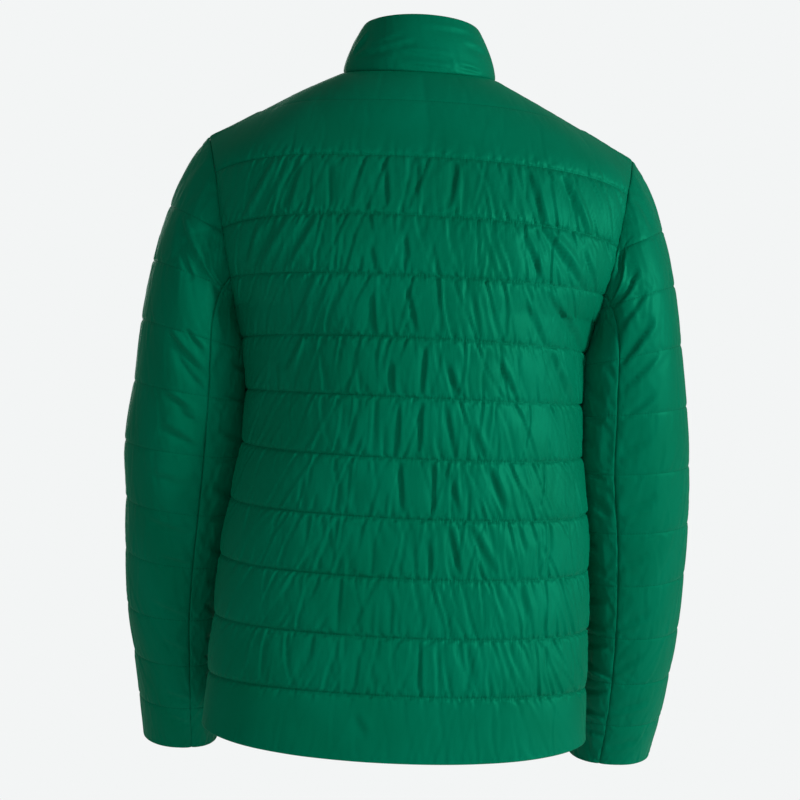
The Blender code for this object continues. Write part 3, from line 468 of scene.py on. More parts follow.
def sleevePanels(side):
    seam = sleeve["seamTurn"]
    ring = 2 * math.pi * sleeve["radius"]
    upper = np.linspace(-seam, seam, evenCount(ring * seam / 180, sleeve["step"]) + 1)
    under = np.linspace(seam, 360 - seam, evenCount(ring * (1 - seam / 180), sleeve["step"]) + 1)
    turns = np.concatenate([upper[:-1], under[:-1]])
    grid, real, width = sleeveGrid(turns, side)
    normals = gridNormals(grid, closed=True)
    flat = ((1 - np.cos(np.radians(turns))) / 2) ** 2
    loft = np.tile(1 - sleeve["innerFlat"] * flat, (len(grid), 1))
    turned = np.array([float(side), 1.0, 1.0])
    full, shut = sleeve["slitEnds"]
    slit = cloth["gap"] / 2 * np.clip((shut - sleeveLines()) / (shut - full), 0.02, 1)[:, None]
    panels = []
    for first, number in ((0, len(upper)), (len(upper) - 1, len(under))):
        columns = [(first + k) % len(turns) for k in range(number)]
        base, normal = grid[:, columns].copy(), normals[:, columns]
        for edge, inside in ((0, 1), (-1, -2)):
            way = base[:, inside] - base[:, edge]
            way -= normal[:, edge] * np.sum(way * normal[:, edge], 1)[:, None]
            base[:, edge] += unit(way) * slit
        rim = normal.copy()
        for j, k in enumerate(columns):
            line, front, _ = capStart(turns[k])
            rim[0, j], outOfBody = armholeFrame(line, front)
            base[0, j] += outOfBody * cloth["gap"] / 2
        around = distances(base, 1)
        half = around[:, -1:] / 2
        panels.append({
            "grid": leaned(base * turned), "normal": normal * turned, "rim": rim * turned,
            "line": real[:, columns], "width": width[:, columns], "around": (around - half) * side,
            "toSeam": np.minimum(around, around[:, -1:] - around), "down": distances(base, 0),
            "toFront": np.full_like(around, 1e3), "loft": loft[:, columns],
        })
        if side < 0:
            panels[-1] = {k: v[:, ::-1] for k, v in panels[-1].items()}
    return panels


collar = {
    "topHalfWidth": 59.0, "topBack": 41.0, "topFront": 68.0, "topLevel": 67.0,
    "sideDip": 12.0, "topFrontLevel": 12.0, "bow": 2.5, "puff": 3.0, "gather": 0.12,
    "rows": 30, "step": 1.8, "quarterRound": 120.0, "faint": {0: 0.2},
}


def collarPanel():
    columns = evenCount(collar["quarterRound"], collar["step"])
    share = np.arange(columns + 1) / columns
    turn = share * math.pi / 2
    edge, half = body["frontEdge"], collar["topHalfWidth"]
    level = collar["topLevel"] - collar["sideDip"]
    frontTop = np.stack([
        edge + (half - edge) * np.sin(turn), -collar["topFront"] * np.cos(turn),
        level - (level - collar["topFrontLevel"]) * np.cos(turn) ** body["neckCurve"],
    ], -1)
    backTop = np.stack([
        half * np.sin(turn), collar["topBack"] * np.cos(turn), level + collar["sideDip"] * np.cos(turn),
    ], -1)
    low = np.concatenate([neckPoint(share, True), neckPoint(share, False)[-2::-1]])
    high = np.concatenate([frontTop, backTop[-2::-1]])
    mirror = np.array([-1.0, 1.0, 1.0])
    low = np.concatenate([low, (low * mirror)[-2::-1]])
    high = np.concatenate([high, (high * mirror)[-2::-1]])
    rows = 1 - np.append(rowShares(collar["rows"]), 1.0)   # rim first, as rows run down
    outward = unit(without(2, low + high))
    grid = low + (high - low) * rows[:, None, None]
    grid = grid + outward * (4 * collar["bow"] * rows * (1 - rows))[:, None, None]
    normals = gridNormals(grid)
    normals[:, [0, -1]] = unit(without(0, normals[:, [0, -1]]))
    rim = normals.copy()
    rim[-1] = neckRim(low)
    across = unit(np.cross(rim[-1], unit(np.gradient(low, axis=0))))
    grid[-1] += across * np.sign(across[:, 2:3]) * cloth["gap"] / 2
    around = distances(grid, 1)
    down = distances(grid, 0)
    ends = np.minimum(around, around[:, -1:] - around)
    return {
        "grid": leaned(grid), "normal": normals, "rim": rim, "down": down,
        "line": np.tile(1 - rows[:, None], (1, len(low))), "width": np.tile(down[-1:], (len(rows), 1)),
        "around": around - around[:, -1:] / 2, "toSeam": np.full_like(around, 1e3), "toFront": ends,
    }


# Padding: what stands off the panels between the stitched lines

# Creases, listed one by one. Each runs from a quilting line or a share past it, at a place across
# the panel in mm, to another. A width below 0 turns its steep side the other way.
creaseNames = ("start", "at", "end", "to", "width", "depth")
creaseSharpness = 3.0   # how much steeper the steep side is
ridge = {"height": 0.6, "at": -0.8, "sharpness": 1.9}   # low one beyond it, in shares of the crease
backCreases = (    # at and to are X
    (2.00, 155, 3.00, 187, 5.9, 2.4), (2.10, 128, 2.90, 140, 5.9, 1.4), (2.10, 43, 2.90, 39, 5.3, 1.6),
    (2.00, 10, 2.90, 8, 4.6, 1.9), (2.05, -31, 2.90, -23, 5.3, 1.8), (2.10, -82, 2.70, -85, 5.3, 1.6),
    (2.10, -104, 3.00, -120, 7.3, 4.4), (2.10, -140, 3.00, -166, 7.9, 4.2), (3.10, 170, 3.80, 178, 6.6, 3.5),
    (3.00, 142, 4.00, 169, 6.6, 2.2), (3.00, 110, 4.00, 142, 5.9, 1.8), (3.50, 54, 4.00, 48, 5.9, 1.6),
    (3.30, 20, 4.00, 17, 5.3, 1.4), (3.40, -64, 4.00, -70, 5.3, 1.9), (3.20, -100, 4.00, -122, 5.9, 3.4),
    (3.00, -116, 4.00, -166, 9.0, 5.2), (3.20, -161, 4.00, -179, 5.9, 2.6), (4.30, 51, 5.00, 46, 5.3, 1.9),
    (4.00, 110, 5.00, 130, 6.6, 2.4), (4.50, 114, 5.00, 120, 5.3, 1.4), (4.10, 17, 4.90, 5, 5.3, 2.1),
    (4.20, -49, 5.00, -60, 5.3, 2.1), (4.30, -104, 5.00, -128, 6.6, 3.2), (4.10, -126, 5.00, -172, 7.9, 4.2),
    (5.00, 120, 5.60, 133, 7.9, 4.5), (5.50, 141, 6.00, 140, 6.6, 2.9), (5.40, 28, 5.95, 26, 5.3, 2.4),
    (5.10, -5, 5.95, -4, 4.6, 2.3), (5.40, -28, 5.95, -40, 5.9, 2.6), (5.20, -76, 6.00, -102, 5.9, 3.2),
    (5.05, -132, 6.00, -160, 7.9, 4.6), (6.05, 19, 6.95, 17, 4.6, 2.1), (6.05, -4, 6.95, -4, 4.6, 2.3),
    (6.10, -28, 6.95, -40, 5.9, 2.4), (6.40, -55, 6.95, -71, 5.9, 2.4), (6.30, 62, 6.90, 67, 5.9, 1.1),
    (7.00, 15, 7.90, 10, 5.3, 2.2), (7.00, -21, 7.95, -21, 5.3, 2.4), (7.20, -36, 7.90, -48, 5.9, 2.4),
    (7.10, -77, 7.80, -93, 7.3, 3.5), (8.10, -39, 8.90, -51, 5.9, 2.8), (8.30, -18, 8.90, -22, 5.3, 1.9),
    (8.05, -57, 8.90, -89, 6.6, 2.4), (8.10, -109, 8.50, -117, 5.9, 1.8), (9.10, -112, 9.60, -123, 7.3, 1.6),
    (9.40, 45, 9.90, 51, 7.9, 1.0), (10.10, -62, 10.70, -70, 7.9, 1.3), (11.35, 49, 11.60, 34, 7.9, 1.4),
)
frontCreases = (   # at and to are mm from the zip
    (2.10, 150, 2.90, 128, 5.9, 1.6), (2.30, 60, 2.90, 66, 5.3, 1.3), (3.05, 170, 3.95, 140, 7.3, 2.8),
    (3.20, 104, 3.90, 88, 5.9, 1.8), (4.10, 160, 4.95, 128, 6.6, 2.4), (4.20, 70, 4.80, 76, 5.3, 1.4),
    (5.05, 150, 5.90, 118, 7.3, 2.6), (5.30, 40, 5.90, 36, 5.3, 1.5), (6.10, 128, 6.90, 110, 5.9, 1.9),
    (6.30, 74, 6.90, 80, 5.9, 1.4), (7.10, 96, 7.85, 84, 6.6, 2.1), (8.10, 60, 8.70, 54, 5.9, 1.6),
    (8.20, 140, 8.80, 128, 5.9, 1.4), (9.20, 110, 9.80, 118, 6.6, 1.2), (10.2, 70, 10.8, 64, 7.3, 1.0),
)
# at and to are mm round from the middle of the sleeve's panel
sleeveCreases = {
    "upperSleeveLeft": (
        (1.13, 51, 1.73, 91, -5.3, 3.5), (1.43, 66, 2.13, 122, -7.3, 5.2), (1.43, 59, 2.08, 91, -4.6, 2.5),
        (1.23, 71, 1.66, 109, -5.3, 2.0), (1.56, 94, 2.05, 127, -5.3, 3.0), (3.08, 72, 3.63, 113, -6.6, 3.9),
        (3.37, 82, 3.92, 115, -5.3, 2.5), (2.94, 91, 3.25, 111, -5.3, 2.2), (4.06, 73, 4.31, 109, -5.9, 2.2),
        (4.57, 72, 4.85, 116, -5.9, 2.5), (4.25, 87, 4.50, 117, -5.3, 2.0), (5.37, 62, 5.50, 105, -6.6, 1.7),
        (6.20, 59, 6.37, 104, -6.6, 2.0), (6.85, 71, 6.94, 105, -5.9, 1.7), (7.69, 59, 7.94, 98, -6.6, 2.0),
        (8.43, 65, 8.69, 92, -5.9, 1.8), (9.63, 58, 9.80, 84, -5.9, 2.0), (10.2, 61, 10.4, 79, -5.3, 1.7),
    ),
    "underSleeveLeft": (
        (2.67, -39, 3.11, -9, 5.1, 2.8), (3.31, -58, 3.50, -16, 5.1, 2.8), (3.94, -63, 4.03, -24, 5.1, 2.5),
        (4.57, -68, 4.69, -32, 5.8, 3.0), (5.08, -67, 5.02, -35, 5.1, 2.2), (5.50, -66, 5.75, -26, 5.8, 2.8),
        (6.08, -61, 6.06, -26, 5.1, 2.1), (6.57, -60, 7.00, -8, 5.8, 2.5), (7.31, -53, 7.31, -26, 5.1, 2.9),
        (7.69, -53, 8.25, -9, 5.8, 3.7), (8.43, -46, 8.57, -7, 5.1, 4.1), (8.80, -46, 9.15, -6, 5.1, 4.1),
        (9.25, -43, 9.43, -6, 5.1, 4.1), (9.63, -40, 10.1, -6, 5.1, 3.7), (10.25, -37, 10.4, -7, 5.1, 3.1),
    ),
    "upperSleeveRight": (
        (1.00, -95, 1.95, -150, -7.9, 5.5), (2.43, -78, 3.11, -116, -7.3, 4.3),
        (1.45, -84, 2.13, -124, -5.9, 3.0), (1.91, -82, 2.54, -118, -5.3, 2.4),
        (0.66, -77, 1.00, -130, -5.3, 2.2), (3.02, -74, 3.57, -114, -5.9, 2.6),
        (3.69, -79, 4.08, -115, -5.9, 2.2), (4.43, -84, 4.69, -118, -5.9, 1.9),
        (5.43, -76, 5.63, -113, -6.6, 1.9), (6.43, -80, 6.63, -110, -5.9, 1.6),
        (7.50, -70, 7.80, -103, -6.6, 2.0), (8.37, -71, 8.75, -96, -5.9, 1.9),
        (9.43, -50, 9.69, -90, -5.9, 1.9), (10.4, -49, 10.6, -79, -5.3, 1.6),
        (1.68, -136, 2.40, -120, -5.3, 2.8),
    ),
    "underSleeveRight": (
        (3.31, 29, 3.69, 61, 5.1, 3.5), (3.89, 35, 4.15, 65, 5.1, 3.5), (4.43, 34, 4.50, 57, 5.1, 3.8),
        (4.94, 39, 5.06, 66, 5.1, 2.9), (5.37, 40, 5.69, 71, 5.8, 4.2), (6.15, 31, 6.31, 53, 5.1, 3.5),
        (6.57, 36, 6.80, 60, 5.1, 3.2), (7.31, 32, 7.31, 60, 5.1, 2.6), (7.75, 20, 7.85, 58, 5.8, 3.8),
        (8.25, 21, 8.20, 58, 5.1, 2.9), (8.57, 19, 8.89, 63, 5.8, 3.8), (9.31, 29, 9.20, 59, 5.1, 2.6),
        (9.69, 19, 9.80, 56, 5.8, 3.2), (10.2, 39, 10.3, 57, 5.1, 2.6),
    ),
}
collarCreases = (
    (0.75, -74, 0.50, -7, -4.6, 3.4), (0.66, -30, 0.75, 31, -4.6, 3.0), (0.29, -57, 0.66, -78, 4.6, 2.4),
    (0.86, 35, 0.92, 67, -4, 1.8), (0.25, -3, 0.25, 54, -5.3, 1.2), (0.45, 43, 0.55, 83, -4.6, 2.0),
    (0.60, -60, 0.40, -20, -4.6, 1.6), (0.90, -20, 0.93, 30, -4, 1.5),
)


def trough(off, sharp):
    # a crease across its width: steep on one side, easing out on the other, with a low ridge
    # beyond the steep side
    gentle, steep = np.exp(-(np.abs(off) ** 1.2)), np.exp(-((np.abs(off) * sharp) ** 1.2))
    raised = ridge["height"] * np.exp(-(((off - ridge["at"]) * ridge["sharpness"]) ** 2))
    return raised - np.where(off > 0, gentle, steep)


def creaseRelief(panel, table, place):
    down = panel["line"] * cloth["pitch"]
    made = np.zeros_like(down)
    for row in table:
        crease = dict(zip(creaseNames, row))
        start = np.array([crease["at"], crease["start"] * cloth["pitch"]])
        run = np.array([crease["to"], crease["end"] * cloth["pitch"]]) - start
        length = max(np.hypot(*run), 1.0)
        run = run / length
        x, y = place - start[0], down - start[1]
        share = np.clip((x * run[0] + y * run[1]) / length, 0, 1)
        off = (x * run[1] - y * run[0]) / crease["width"]
        past = np.abs(x * run[0] + y * run[1] - share * length) / abs(crease["width"])
        fade = np.sin(math.pi * share) ** 0.6 * np.exp(-(past**2))
        made += crease["depth"] * fade * trough(off, creaseSharpness)
    return made


puckers = {
    # gathers beside each stitched line, in mm
    "spacing": (2.8, 7.5), "length": (3.0, 14.0), "width": (1.2, 2.2), "depth": (0.3, 1.0),
    # streaks that run on towards the next line
    "apart": (6.0, 24.0), "share": (0.4, 1.2), "streakWidth": (1.8, 3.8), "streakDepth": (0.4, 1.7),
    "lean": 0.3, "turn": 0.006,   # sideways drift for each mm down, and its change, at random
    "fan": 0.42, "fanAt": 150.0,   # and what the drift gains that far towards the panel's side
    "clear": 2.5,            # they start that far from the line
    "sharpness": 3.2,
    "yoke": 0.12, "yokeTo": (1.75, 2.2),   # strength above line 2, and where it becomes whole
    "hem": 0.2, "hemFrom": (11.0, 11.15),  # strength below line 11
    "smoothX": (-90, 80), "smoothLines": (4, 11),   # where the back's left gets smoother
    "elsewhere": 0.6,        # strength on the panels that the photo doesn't show
}


def onBody(panel):
    return panel["line"].max() > sleeve["cuff"]


def puckerRelief(panel, seed):
    # gathers that the stitching pulls into the shell along every quilting line, and streaks
    # that fan out from them towards the sides, as on the photo's back
    rng = np.random.default_rng(seed)
    line, around, width = panel["line"], panel["around"], panel["width"]
    made = np.zeros_like(line)
    low, high = around.min(), around.max()
    for channel in range(int(line.max() + 0.999)):
        inside = (line >= channel) & (line <= channel + 1)
        rows = np.nonzero(inside.any(1))[0]
        rows = slice(rows[0], rows[-1] + 1)
        inside, run = inside[rows], around[rows]
        within = np.clip(line[rows] - channel, 0, 1)
        middle = run.mean(0)
        order = np.argsort(middle)
        ranked = middle[order]

        def near(place, reach):
            return order[np.searchsorted(ranked, place - reach): np.searchsorted(ranked, place + reach)]

        def add(fold, columns):
            made[rows, columns] += inside[:, columns] * fold * panel["gather"][rows, columns]

        for fromTop in (True, False):
            away = (within if fromTop else 1 - within) * width[rows]
            way = 1 if fromTop else -1
            for kind in ("gather", "streak"):
                place = low + rng.uniform(0, 6)
                while place < high:
                    lean = rng.uniform(-1, 1) * puckers["lean"]
                    lean += puckers["fan"] * place / puckers["fanAt"]
                    if kind == "gather":
                        length, wide = rng.uniform(*puckers["length"]), rng.uniform(*puckers["width"])
                        depth, turn = rng.uniform(*puckers["depth"]), 0.0
                    else:
                        length = cloth["pitch"] * rng.uniform(*puckers["share"])
                        wide = rng.uniform(*puckers["streakWidth"])
                        depth = rng.uniform(*puckers["streakDepth"])
                        turn = rng.uniform(-puckers["turn"], puckers["turn"])
                    columns = near(place, 4 * wide + (abs(lean) + abs(turn) * 30) * length)
                    if len(columns):
                        d = away[:, columns]
                        fade = smooth(d / puckers["clear"]) * np.exp(-((d / length) ** 2) * 1.6)
                        off = (run[:, columns] - place - way * (lean * d + turn * d * d)) / wide
                        off = off * rng.choice((-1, 1))
                        add(depth * fade * trough(off, puckers["sharpness"]), columns)
                    place += rng.uniform(*puckers["spacing" if kind == "gather" else "apart"])
    return made


def gathering(panel, most, smoothLeft=0.0):
    # how strongly the stitching gathers the shell: the photo's yoke and hem are smooth, and its
    # back is smoother on the left than on the right
    line, x = panel["line"], panel["grid"][:, :, 0]
    more = 0.8 + 0.4 * ramp(line, *puckers["smoothLines"])
    made = most * (1 - smoothLeft * ramp(x, *puckers["smoothX"]) * more)
    if onBody(panel):
        made = made * (puckers["yoke"] + (1 - puckers["yoke"]) * ramp(line, *puckers["yokeTo"]))
        made = made * (1 - (1 - puckers["hem"]) * ramp(line, *puckers["hemFrom"]))
    return made


def softNoise(panel, seed, size):
    # low swells, so that no two channels are alike
    rng = np.random.default_rng(seed)
    made = np.zeros_like(panel["line"])
    for _ in range(wadding["waves"]):
        turn, phase = rng.uniform(0, 2 * math.pi), rng.uniform(0, 2 * math.pi)
        wave = 2 * math.pi / (size * rng.uniform(0.7, 1.6))
        made += np.sin((panel["around"] * math.cos(turn) + panel["down"] * math.sin(turn)) * wave + phase)
    return made / math.sqrt(wadding["waves"])


wadding = {
    "fullChannel": 42.0,     # a narrower channel puffs up less
    "notch": 1.6,            # how fast it stands up beside a stitched line
    "notchShare": 0.6,       # share of its height that it has right beside the line
    "seamReach": 24.0, "zipReach": 16.0,   # it has its whole height that far from them
    "uneven": 0.08, "unevenSize": 70.0, "waves": 14,
    "least": 0.12,           # share of its height that the deepest wrinkle leaves
    "wrinkledFrom": 2.4,     # wrinkles are whole where it stands that high
    "digAt": 3.0,            # creases that deep press in in full
}


def standing(distance, reach):
    # share of the wadding's height that far from a stitched line: steep first, then easing
    share = wadding["notchShare"]
    easing = np.sin(math.pi / 2 * np.clip(distance / reach, 0, 1)) ** 0.8
    return share * (1 - np.exp(-distance / wadding["notch"])) + (1 - share) * easing


def padding(panel, puff, faint, seed, creases=0.0, dig=0.0):
    # height of the outside above the stitched-down cloth. faint lists lines sewn less deep,
    # dig is how far the deepest creases press into the wall
    line, width = panel["line"], panel["width"]
    last = line >= line.max()
    within = np.where(last, 1.0, line - np.floor(line))
    nearest = np.where(last, line.max(), np.round(line))
    depth = np.ones_like(line)
    for number, share in faint.items():
        depth[nearest == number] = share
    panel["stitch"] = np.minimum(np.minimum(within, 1 - within) * width, panel["toSeam"])
    loft = panel.get("loft", 1.0) * np.minimum(1, width / wadding["fullChannel"])
    if onBody(panel):
        loft = loft * (body["yokePuff"] + (1 - body["yokePuff"]) * ramp(line, *body["yokeTo"]))
    full = puff * loft * (1 + wadding["uneven"] * softNoise(panel, seed, wadding["unevenSize"]))
    rise = 1 - depth * (1 - standing(np.minimum(within, 1 - within) * width, width / 2))
    full = full * rise
    wrinkles = puckerRelief(panel, seed + 1) + creases
    height = full + wrinkles * smooth(full / wadding["wrinkledFrom"])
    atZip = wadding["least"] + (1 - wadding["least"]) * standing(panel["toFront"], wadding["zipReach"])
    edge = standing(panel["toSeam"], wadding["seamReach"]) * atZip
    pressed = dig * np.clip(creases / wadding["digAt"], -1, 0)
    pressed = pressed * smooth(2 * full / wadding["wrinkledFrom"])
    return (np.maximum(height, wadding["least"] * full) + pressed) * edge


settling = {
    "enlarge": 10.0,   # it is simulated at ten times real size, where the solver is steady
    "every": 2,        # it keeps one point in so many
    "frames": 11, "quality": 5, "mass": 0.3,
    "stretch": 15.0, "shear": 5.0, "bend": 0.05,
    "ease": 0.026,     # the shell is that much larger than what it covers
    "gain": 0.75, "swell": 22.0,   # wrinkles broader than this swell are left out
    "most": 3.0,       # no point moves further than this
    "held": 0.7,       # points are pinned that close to a stitched line
    "whole": 1.6,      # it counts in full where that times the gathering reaches 1
}


def finer(net, axis):
    # doubles a net's points on a smooth curve through them
    net = np.moveaxis(net, axis, 0)
    ends = np.concatenate([2 * net[:1] - net[1:2], net, 2 * net[-1:] - net[-2:-1]])
    middle = (9 * (ends[1:-2] + ends[2:-1]) - ends[:-3] - ends[3:]) / 16
    made = np.empty((2 * len(net) - 1,) + net.shape[1:])
    made[::2], made[1::2] = net, middle
    return np.moveaxis(made, 0, axis)


def swept(net, reach):
    # running mean along the rows: the even swelling, which the padding's height already has
    reach = max(2, round(reach))
    weights = np.hanning(2 * reach + 1)
    weights /= weights.sum()
    ends = np.pad(net, ((0, 0), (reach, reach), (0, 0)), mode="edge")
    return sum(w * ends[:, k: k + net.shape[1]] for k, w in enumerate(weights))


def quads(number):
    corners = (number[:-1, :-1], number[1:, :-1], number[1:, 1:], number[:-1, 1:])
    return np.stack(corners, -1).reshape(-1, 4).tolist()


def settle(panel, outer):
    # Blender's Cloth wrinkles the shell, cut a little too large, between its stitched lines
    every, enlarge = settling["every"], settling["enlarge"] * mm
    net = outer[::every, ::every]
    rows, columns = net.shape[:2]
    faces = quads(np.arange(rows * columns).reshape(rows, columns))
    mesh = bpy.data.meshes.new("settling")
    mesh.from_pydata((net.reshape(-1, 3) * enlarge).tolist(), [], faces)
    piece = bpy.data.objects.new("settling", mesh)
    bpy.context.scene.collection.objects.link(piece)
    held = panel["stitch"][::every, ::every] < settling["held"]
    held[0], held[-1], held[:, 0], held[:, -1] = True, True, True, True
    pins = piece.vertex_groups.new(name="stitched")
    pins.add(np.nonzero(held.ravel())[0].tolist(), 1.0, "REPLACE")
    cloth3d = piece.modifiers.new("settle", "CLOTH")
    rules = cloth3d.settings
    rules.vertex_group_mass = "stitched"
    rules.quality, rules.mass = settling["quality"], settling["mass"]
    rules.tension_stiffness = rules.compression_stiffness = settling["stretch"]
    rules.shear_stiffness, rules.bending_stiffness = settling["shear"], settling["bend"]
    rules.shrink_min = rules.shrink_max = -settling["ease"]
    rules.effector_weights.gravity = 0
    cloth3d.collision_settings.use_collision = False
    cloth3d.point_cache.frame_start, cloth3d.point_cache.frame_end = 1, settling["frames"]
    for frameNumber in range(1, settling["frames"] + 1):
        bpy.context.scene.frame_set(frameNumber)
    done = piece.evaluated_get(bpy.context.evaluated_depsgraph_get())
    points = np.empty(len(mesh.vertices) * 3)
    done.data.vertices.foreach_get("co", points)
    bpy.data.objects.remove(piece)
    bpy.data.meshes.remove(mesh)
    bpy.context.scene.frame_set(1)
    moved = points.reshape(rows, columns, 3) / enlarge - net
    step = np.median(np.linalg.norm(np.diff(net, axis=1), axis=2))
    moved = settling["gain"] * (moved - swept(moved, settling["swell"] / step))
    length = np.linalg.norm(moved, axis=-1, keepdims=True)
    moved *= np.minimum(1, settling["most"] / np.maximum(length, 1e-6))
    moved = finer(finer(moved, 0), 1)
    return moved * np.minimum(1, panel["gather"] * settling["whole"])[:, :, None]


# Walls: the outside at full fineness, a plain inside, rims between

def placed(name, data):
    made = bpy.data.objects.new(name, data)
    bpy.context.scene.collection.objects.link(made)
    return made


def ribbon(faces, above, below):
    # faces between two runs of points, which may differ in number
    i = j = 0
    lastI, lastJ = len(above) - 1, len(below) - 1
    while i < lastI or j < lastJ:
        if lastI == lastJ:
            faces.append([above[i], above[i + 1], below[j + 1], below[j]])
            i, j = i + 1, j + 1
        elif j == lastJ or (i < lastI and (2 * i + 1) * lastJ <= (2 * j + 1) * lastI):
            faces.append([above[i], above[i + 1], below[j]])
            i += 1
        else:
            faces.append([above[i], below[j + 1], below[j]])
            j += 1


def keptEvery(count, every):
    kept = list(range(0, count - 1, every))
    return kept + [count - 1] if count - 1 - kept[-1] >= every / 2 else kept[:-1] + [count - 1]


def panelWall(name, panel, height):
    grid, rows, columns = panel["grid"], *panel["grid"].shape[:2]
    outer = grid + panel["normal"] * height[:, :, None]
    outer = outer + settle(panel, outer)
    panel["outer"] = outer
    kept = np.ix_(keptEvery(rows, cloth["insideEvery"]), keptEvery(columns, cloth["insideEvery"]))
    inner = (grid - panel["rim"] * cloth["wall"])[kept]
    points = np.concatenate([outer.reshape(-1, 3), inner.reshape(-1, 3)]) * mm
    number = np.arange(rows * columns).reshape(rows, columns)
    inside = rows * columns + np.arange(inner.shape[0] * inner.shape[1]).reshape(inner.shape[:2])
    faces = quads(number) + quads(inside.T)
    ribbon(faces, number[0].tolist(), inside[0].tolist())
    ribbon(faces, number[-1, ::-1].tolist(), inside[-1, ::-1].tolist())
    ribbon(faces, number[::-1, 0].tolist(), inside[::-1, 0].tolist())
    ribbon(faces, number[:, -1].tolist(), inside[:, -1].tolist())
    mesh = bpy.data.meshes.new(name)
    mesh.from_pydata(points.tolist(), [], faces)
    flat = np.stack([panel["around"], -panel["down"]], -1)
    uv = np.concatenate([flat.reshape(-1, 2), flat[kept].reshape(-1, 2)]) * mm
    layer = mesh.uv_layers.new(name="cut")
    corner = np.empty(len(mesh.loops), np.int32)
    mesh.loops.foreach_get("vertex_index", corner)
    layer.data.foreach_set("uv", uv[corner].astype(np.float32).ravel())
    for key, plain in (("stitch", 99.0), ("gather", 0.0)):
        values = np.concatenate([panel[key].ravel(), np.full(inner.shape[0] * inner.shape[1], plain)])
        mesh.attributes.new(key, "FLOAT", "POINT").data.foreach_set("value", values.astype(np.float32))
    mesh.validate()
    turn = bmesh.new()
    turn.from_mesh(mesh)
    if turn.calc_volume(signed=True) < 0:
        bmesh.ops.reverse_faces(turn, faces=turn.faces)
    turn.to_mesh(mesh)
    turn.free()
    mesh.shade_smooth()
    mesh.materials.append(shell)
    return placed(name, mesh)


# What repeats along a path: stitches and zip teeth

stitching = {
    "pitch": 3.1, "length": 2.4, "thick": 0.5,
    "clear": 3.0,            # a line stops that far before it runs into the panel's top seam
    "fewest": 5,             # points in a run of stitches that is worth sewing
}
zipRow = {
    "pitch": 1.4,            # from each tooth to the next one, which is on the other tape
    "sideways": 1.15, "tooth": (1.9, 3.5, 2.3),   # along the zip, across it and through it
    "corner": 0.22,          # share of half a tooth that its corners lose
    "behind": 3.7, "bottom": -681.4, "top": -3.5, "bend": 4.0,   # which it follows in such steps
}


def stitchPaths(panel, lines):
    # the quilting lines on the finished outside, in runs of points with the way they face
    line, outer, normal = panel["line"], panel["outer"], panel["normal"]
    columns = np.arange(line.shape[1])
    found = []
    for number in lines:
        at = np.array([np.interp(number, line[:, j], np.arange(len(line))) for j in columns])
        low = np.clip(at.astype(int), 0, len(line) - 2)
        share = (at - low)[:, None]
        above, under = ([v[row, columns].reshape(len(columns), -1) for v in (outer, normal, panel["down"])]
                        for row in (low, low + 1))
        run, away, down = ((1 - share) * a + share * b for a, b in zip(above, under))
        clear = down[:, 0] > stitching["clear"]
        clear[[0, -1]] = False
        ends = np.flatnonzero(np.diff(np.concatenate([[False], clear, [False]])))
        for start, end in zip(ends[::2], ends[1::2]):
            if end - start >= stitching["fewest"]:
                found.append((run[start:end], away[start:end]))
    return found


def zipMiddle(front, collarPiece):
    # down the middle of the zip, behind the edges of the front and the collar
    points, ways = (np.concatenate([collarPiece[key][:-1, 0], front[key][:, 0]])
                    for key in ("grid", "normal"))
    ways = unit(without(0, ways))
    points = points - np.array([body["frontEdge"], 0.0, 0.0]) - ways * zipRow["behind"]
    levels = np.arange(zipRow["bottom"], zipRow["top"], zipRow["bend"])
    return tuple(np.stack([np.interp(levels, points[::-1, 2], v[::-1, k]) for k in range(3)], -1)
                 for v in (points, ways))


def rowTree():
    # sets copies of one small piece along paths, facing the way kept in the paths' "up"
    tree = bpy.data.node_groups.new("rowAlongPath", "GeometryNodeTree")
    for name, kind in (("Paths", "Geometry"), ("Piece", "Object"), ("Pitch", "Float"),
                       ("Sideways", "Float"), ("Finish", "Material")):
        tree.interface.new_socket(name, in_out="INPUT", socket_type="NodeSocket" + kind)
    tree.interface.new_socket("Row", in_out="OUTPUT", socket_type="NodeSocketGeometry")
    given = addNode(tree, "NodeGroupInput").outputs
    curves = addNode(tree, "GeometryNodeMeshToCurve", Mesh=given["Paths"])
    even = addNode(tree, "GeometryNodeResampleCurve", {"mode": "LENGTH"}, Curve=curves,
                   Length=given["Pitch"])
    up = addNode(tree, "GeometryNodeInputNamedAttribute", {"data_type": "FLOAT_VECTOR"}, Name="up")
    way = addNode(tree, "GeometryNodeInputTangent")
    turn = addNode(tree, "FunctionNodeAxesToRotation", {"primary_axis": "Z", "secondary_axis": "X"},
                   Primary_Axis=up, Secondary_Axis=way)
    piece = addNode(tree, "GeometryNodeObjectInfo", Object=given["Piece"]).outputs["Geometry"]
    copies = addNode(tree, "GeometryNodeInstanceOnPoints", Points=even, Instance=piece, Rotation=turn)
    number = addNode(tree, "GeometryNodeInputIndex")
    odd = addNode(tree, "ShaderNodeMath", {"operation": "MODULO"}, n0=number, n1=2.0)
    either = addNode(tree, "ShaderNodeMath", {"operation": "MULTIPLY_ADD"}, n0=odd, n1=2.0, n2=-1.0)
    aside = addNode(tree, "ShaderNodeMath", {"operation": "MULTIPLY"}, n0=either, n1=given["Sideways"])
    shift = addNode(tree, "ShaderNodeCombineXYZ", Y=aside)
    zigzag = addNode(tree, "GeometryNodeTranslateInstances", Instances=copies, Translation=shift)
    real = addNode(tree, "GeometryNodeRealizeInstances", Geometry=zigzag)
    dressed = addNode(tree, "GeometryNodeSetMaterial", Geometry=real, Material=given["Finish"])
    addNode(tree, "NodeGroupOutput", Row=dressed)
    return tree


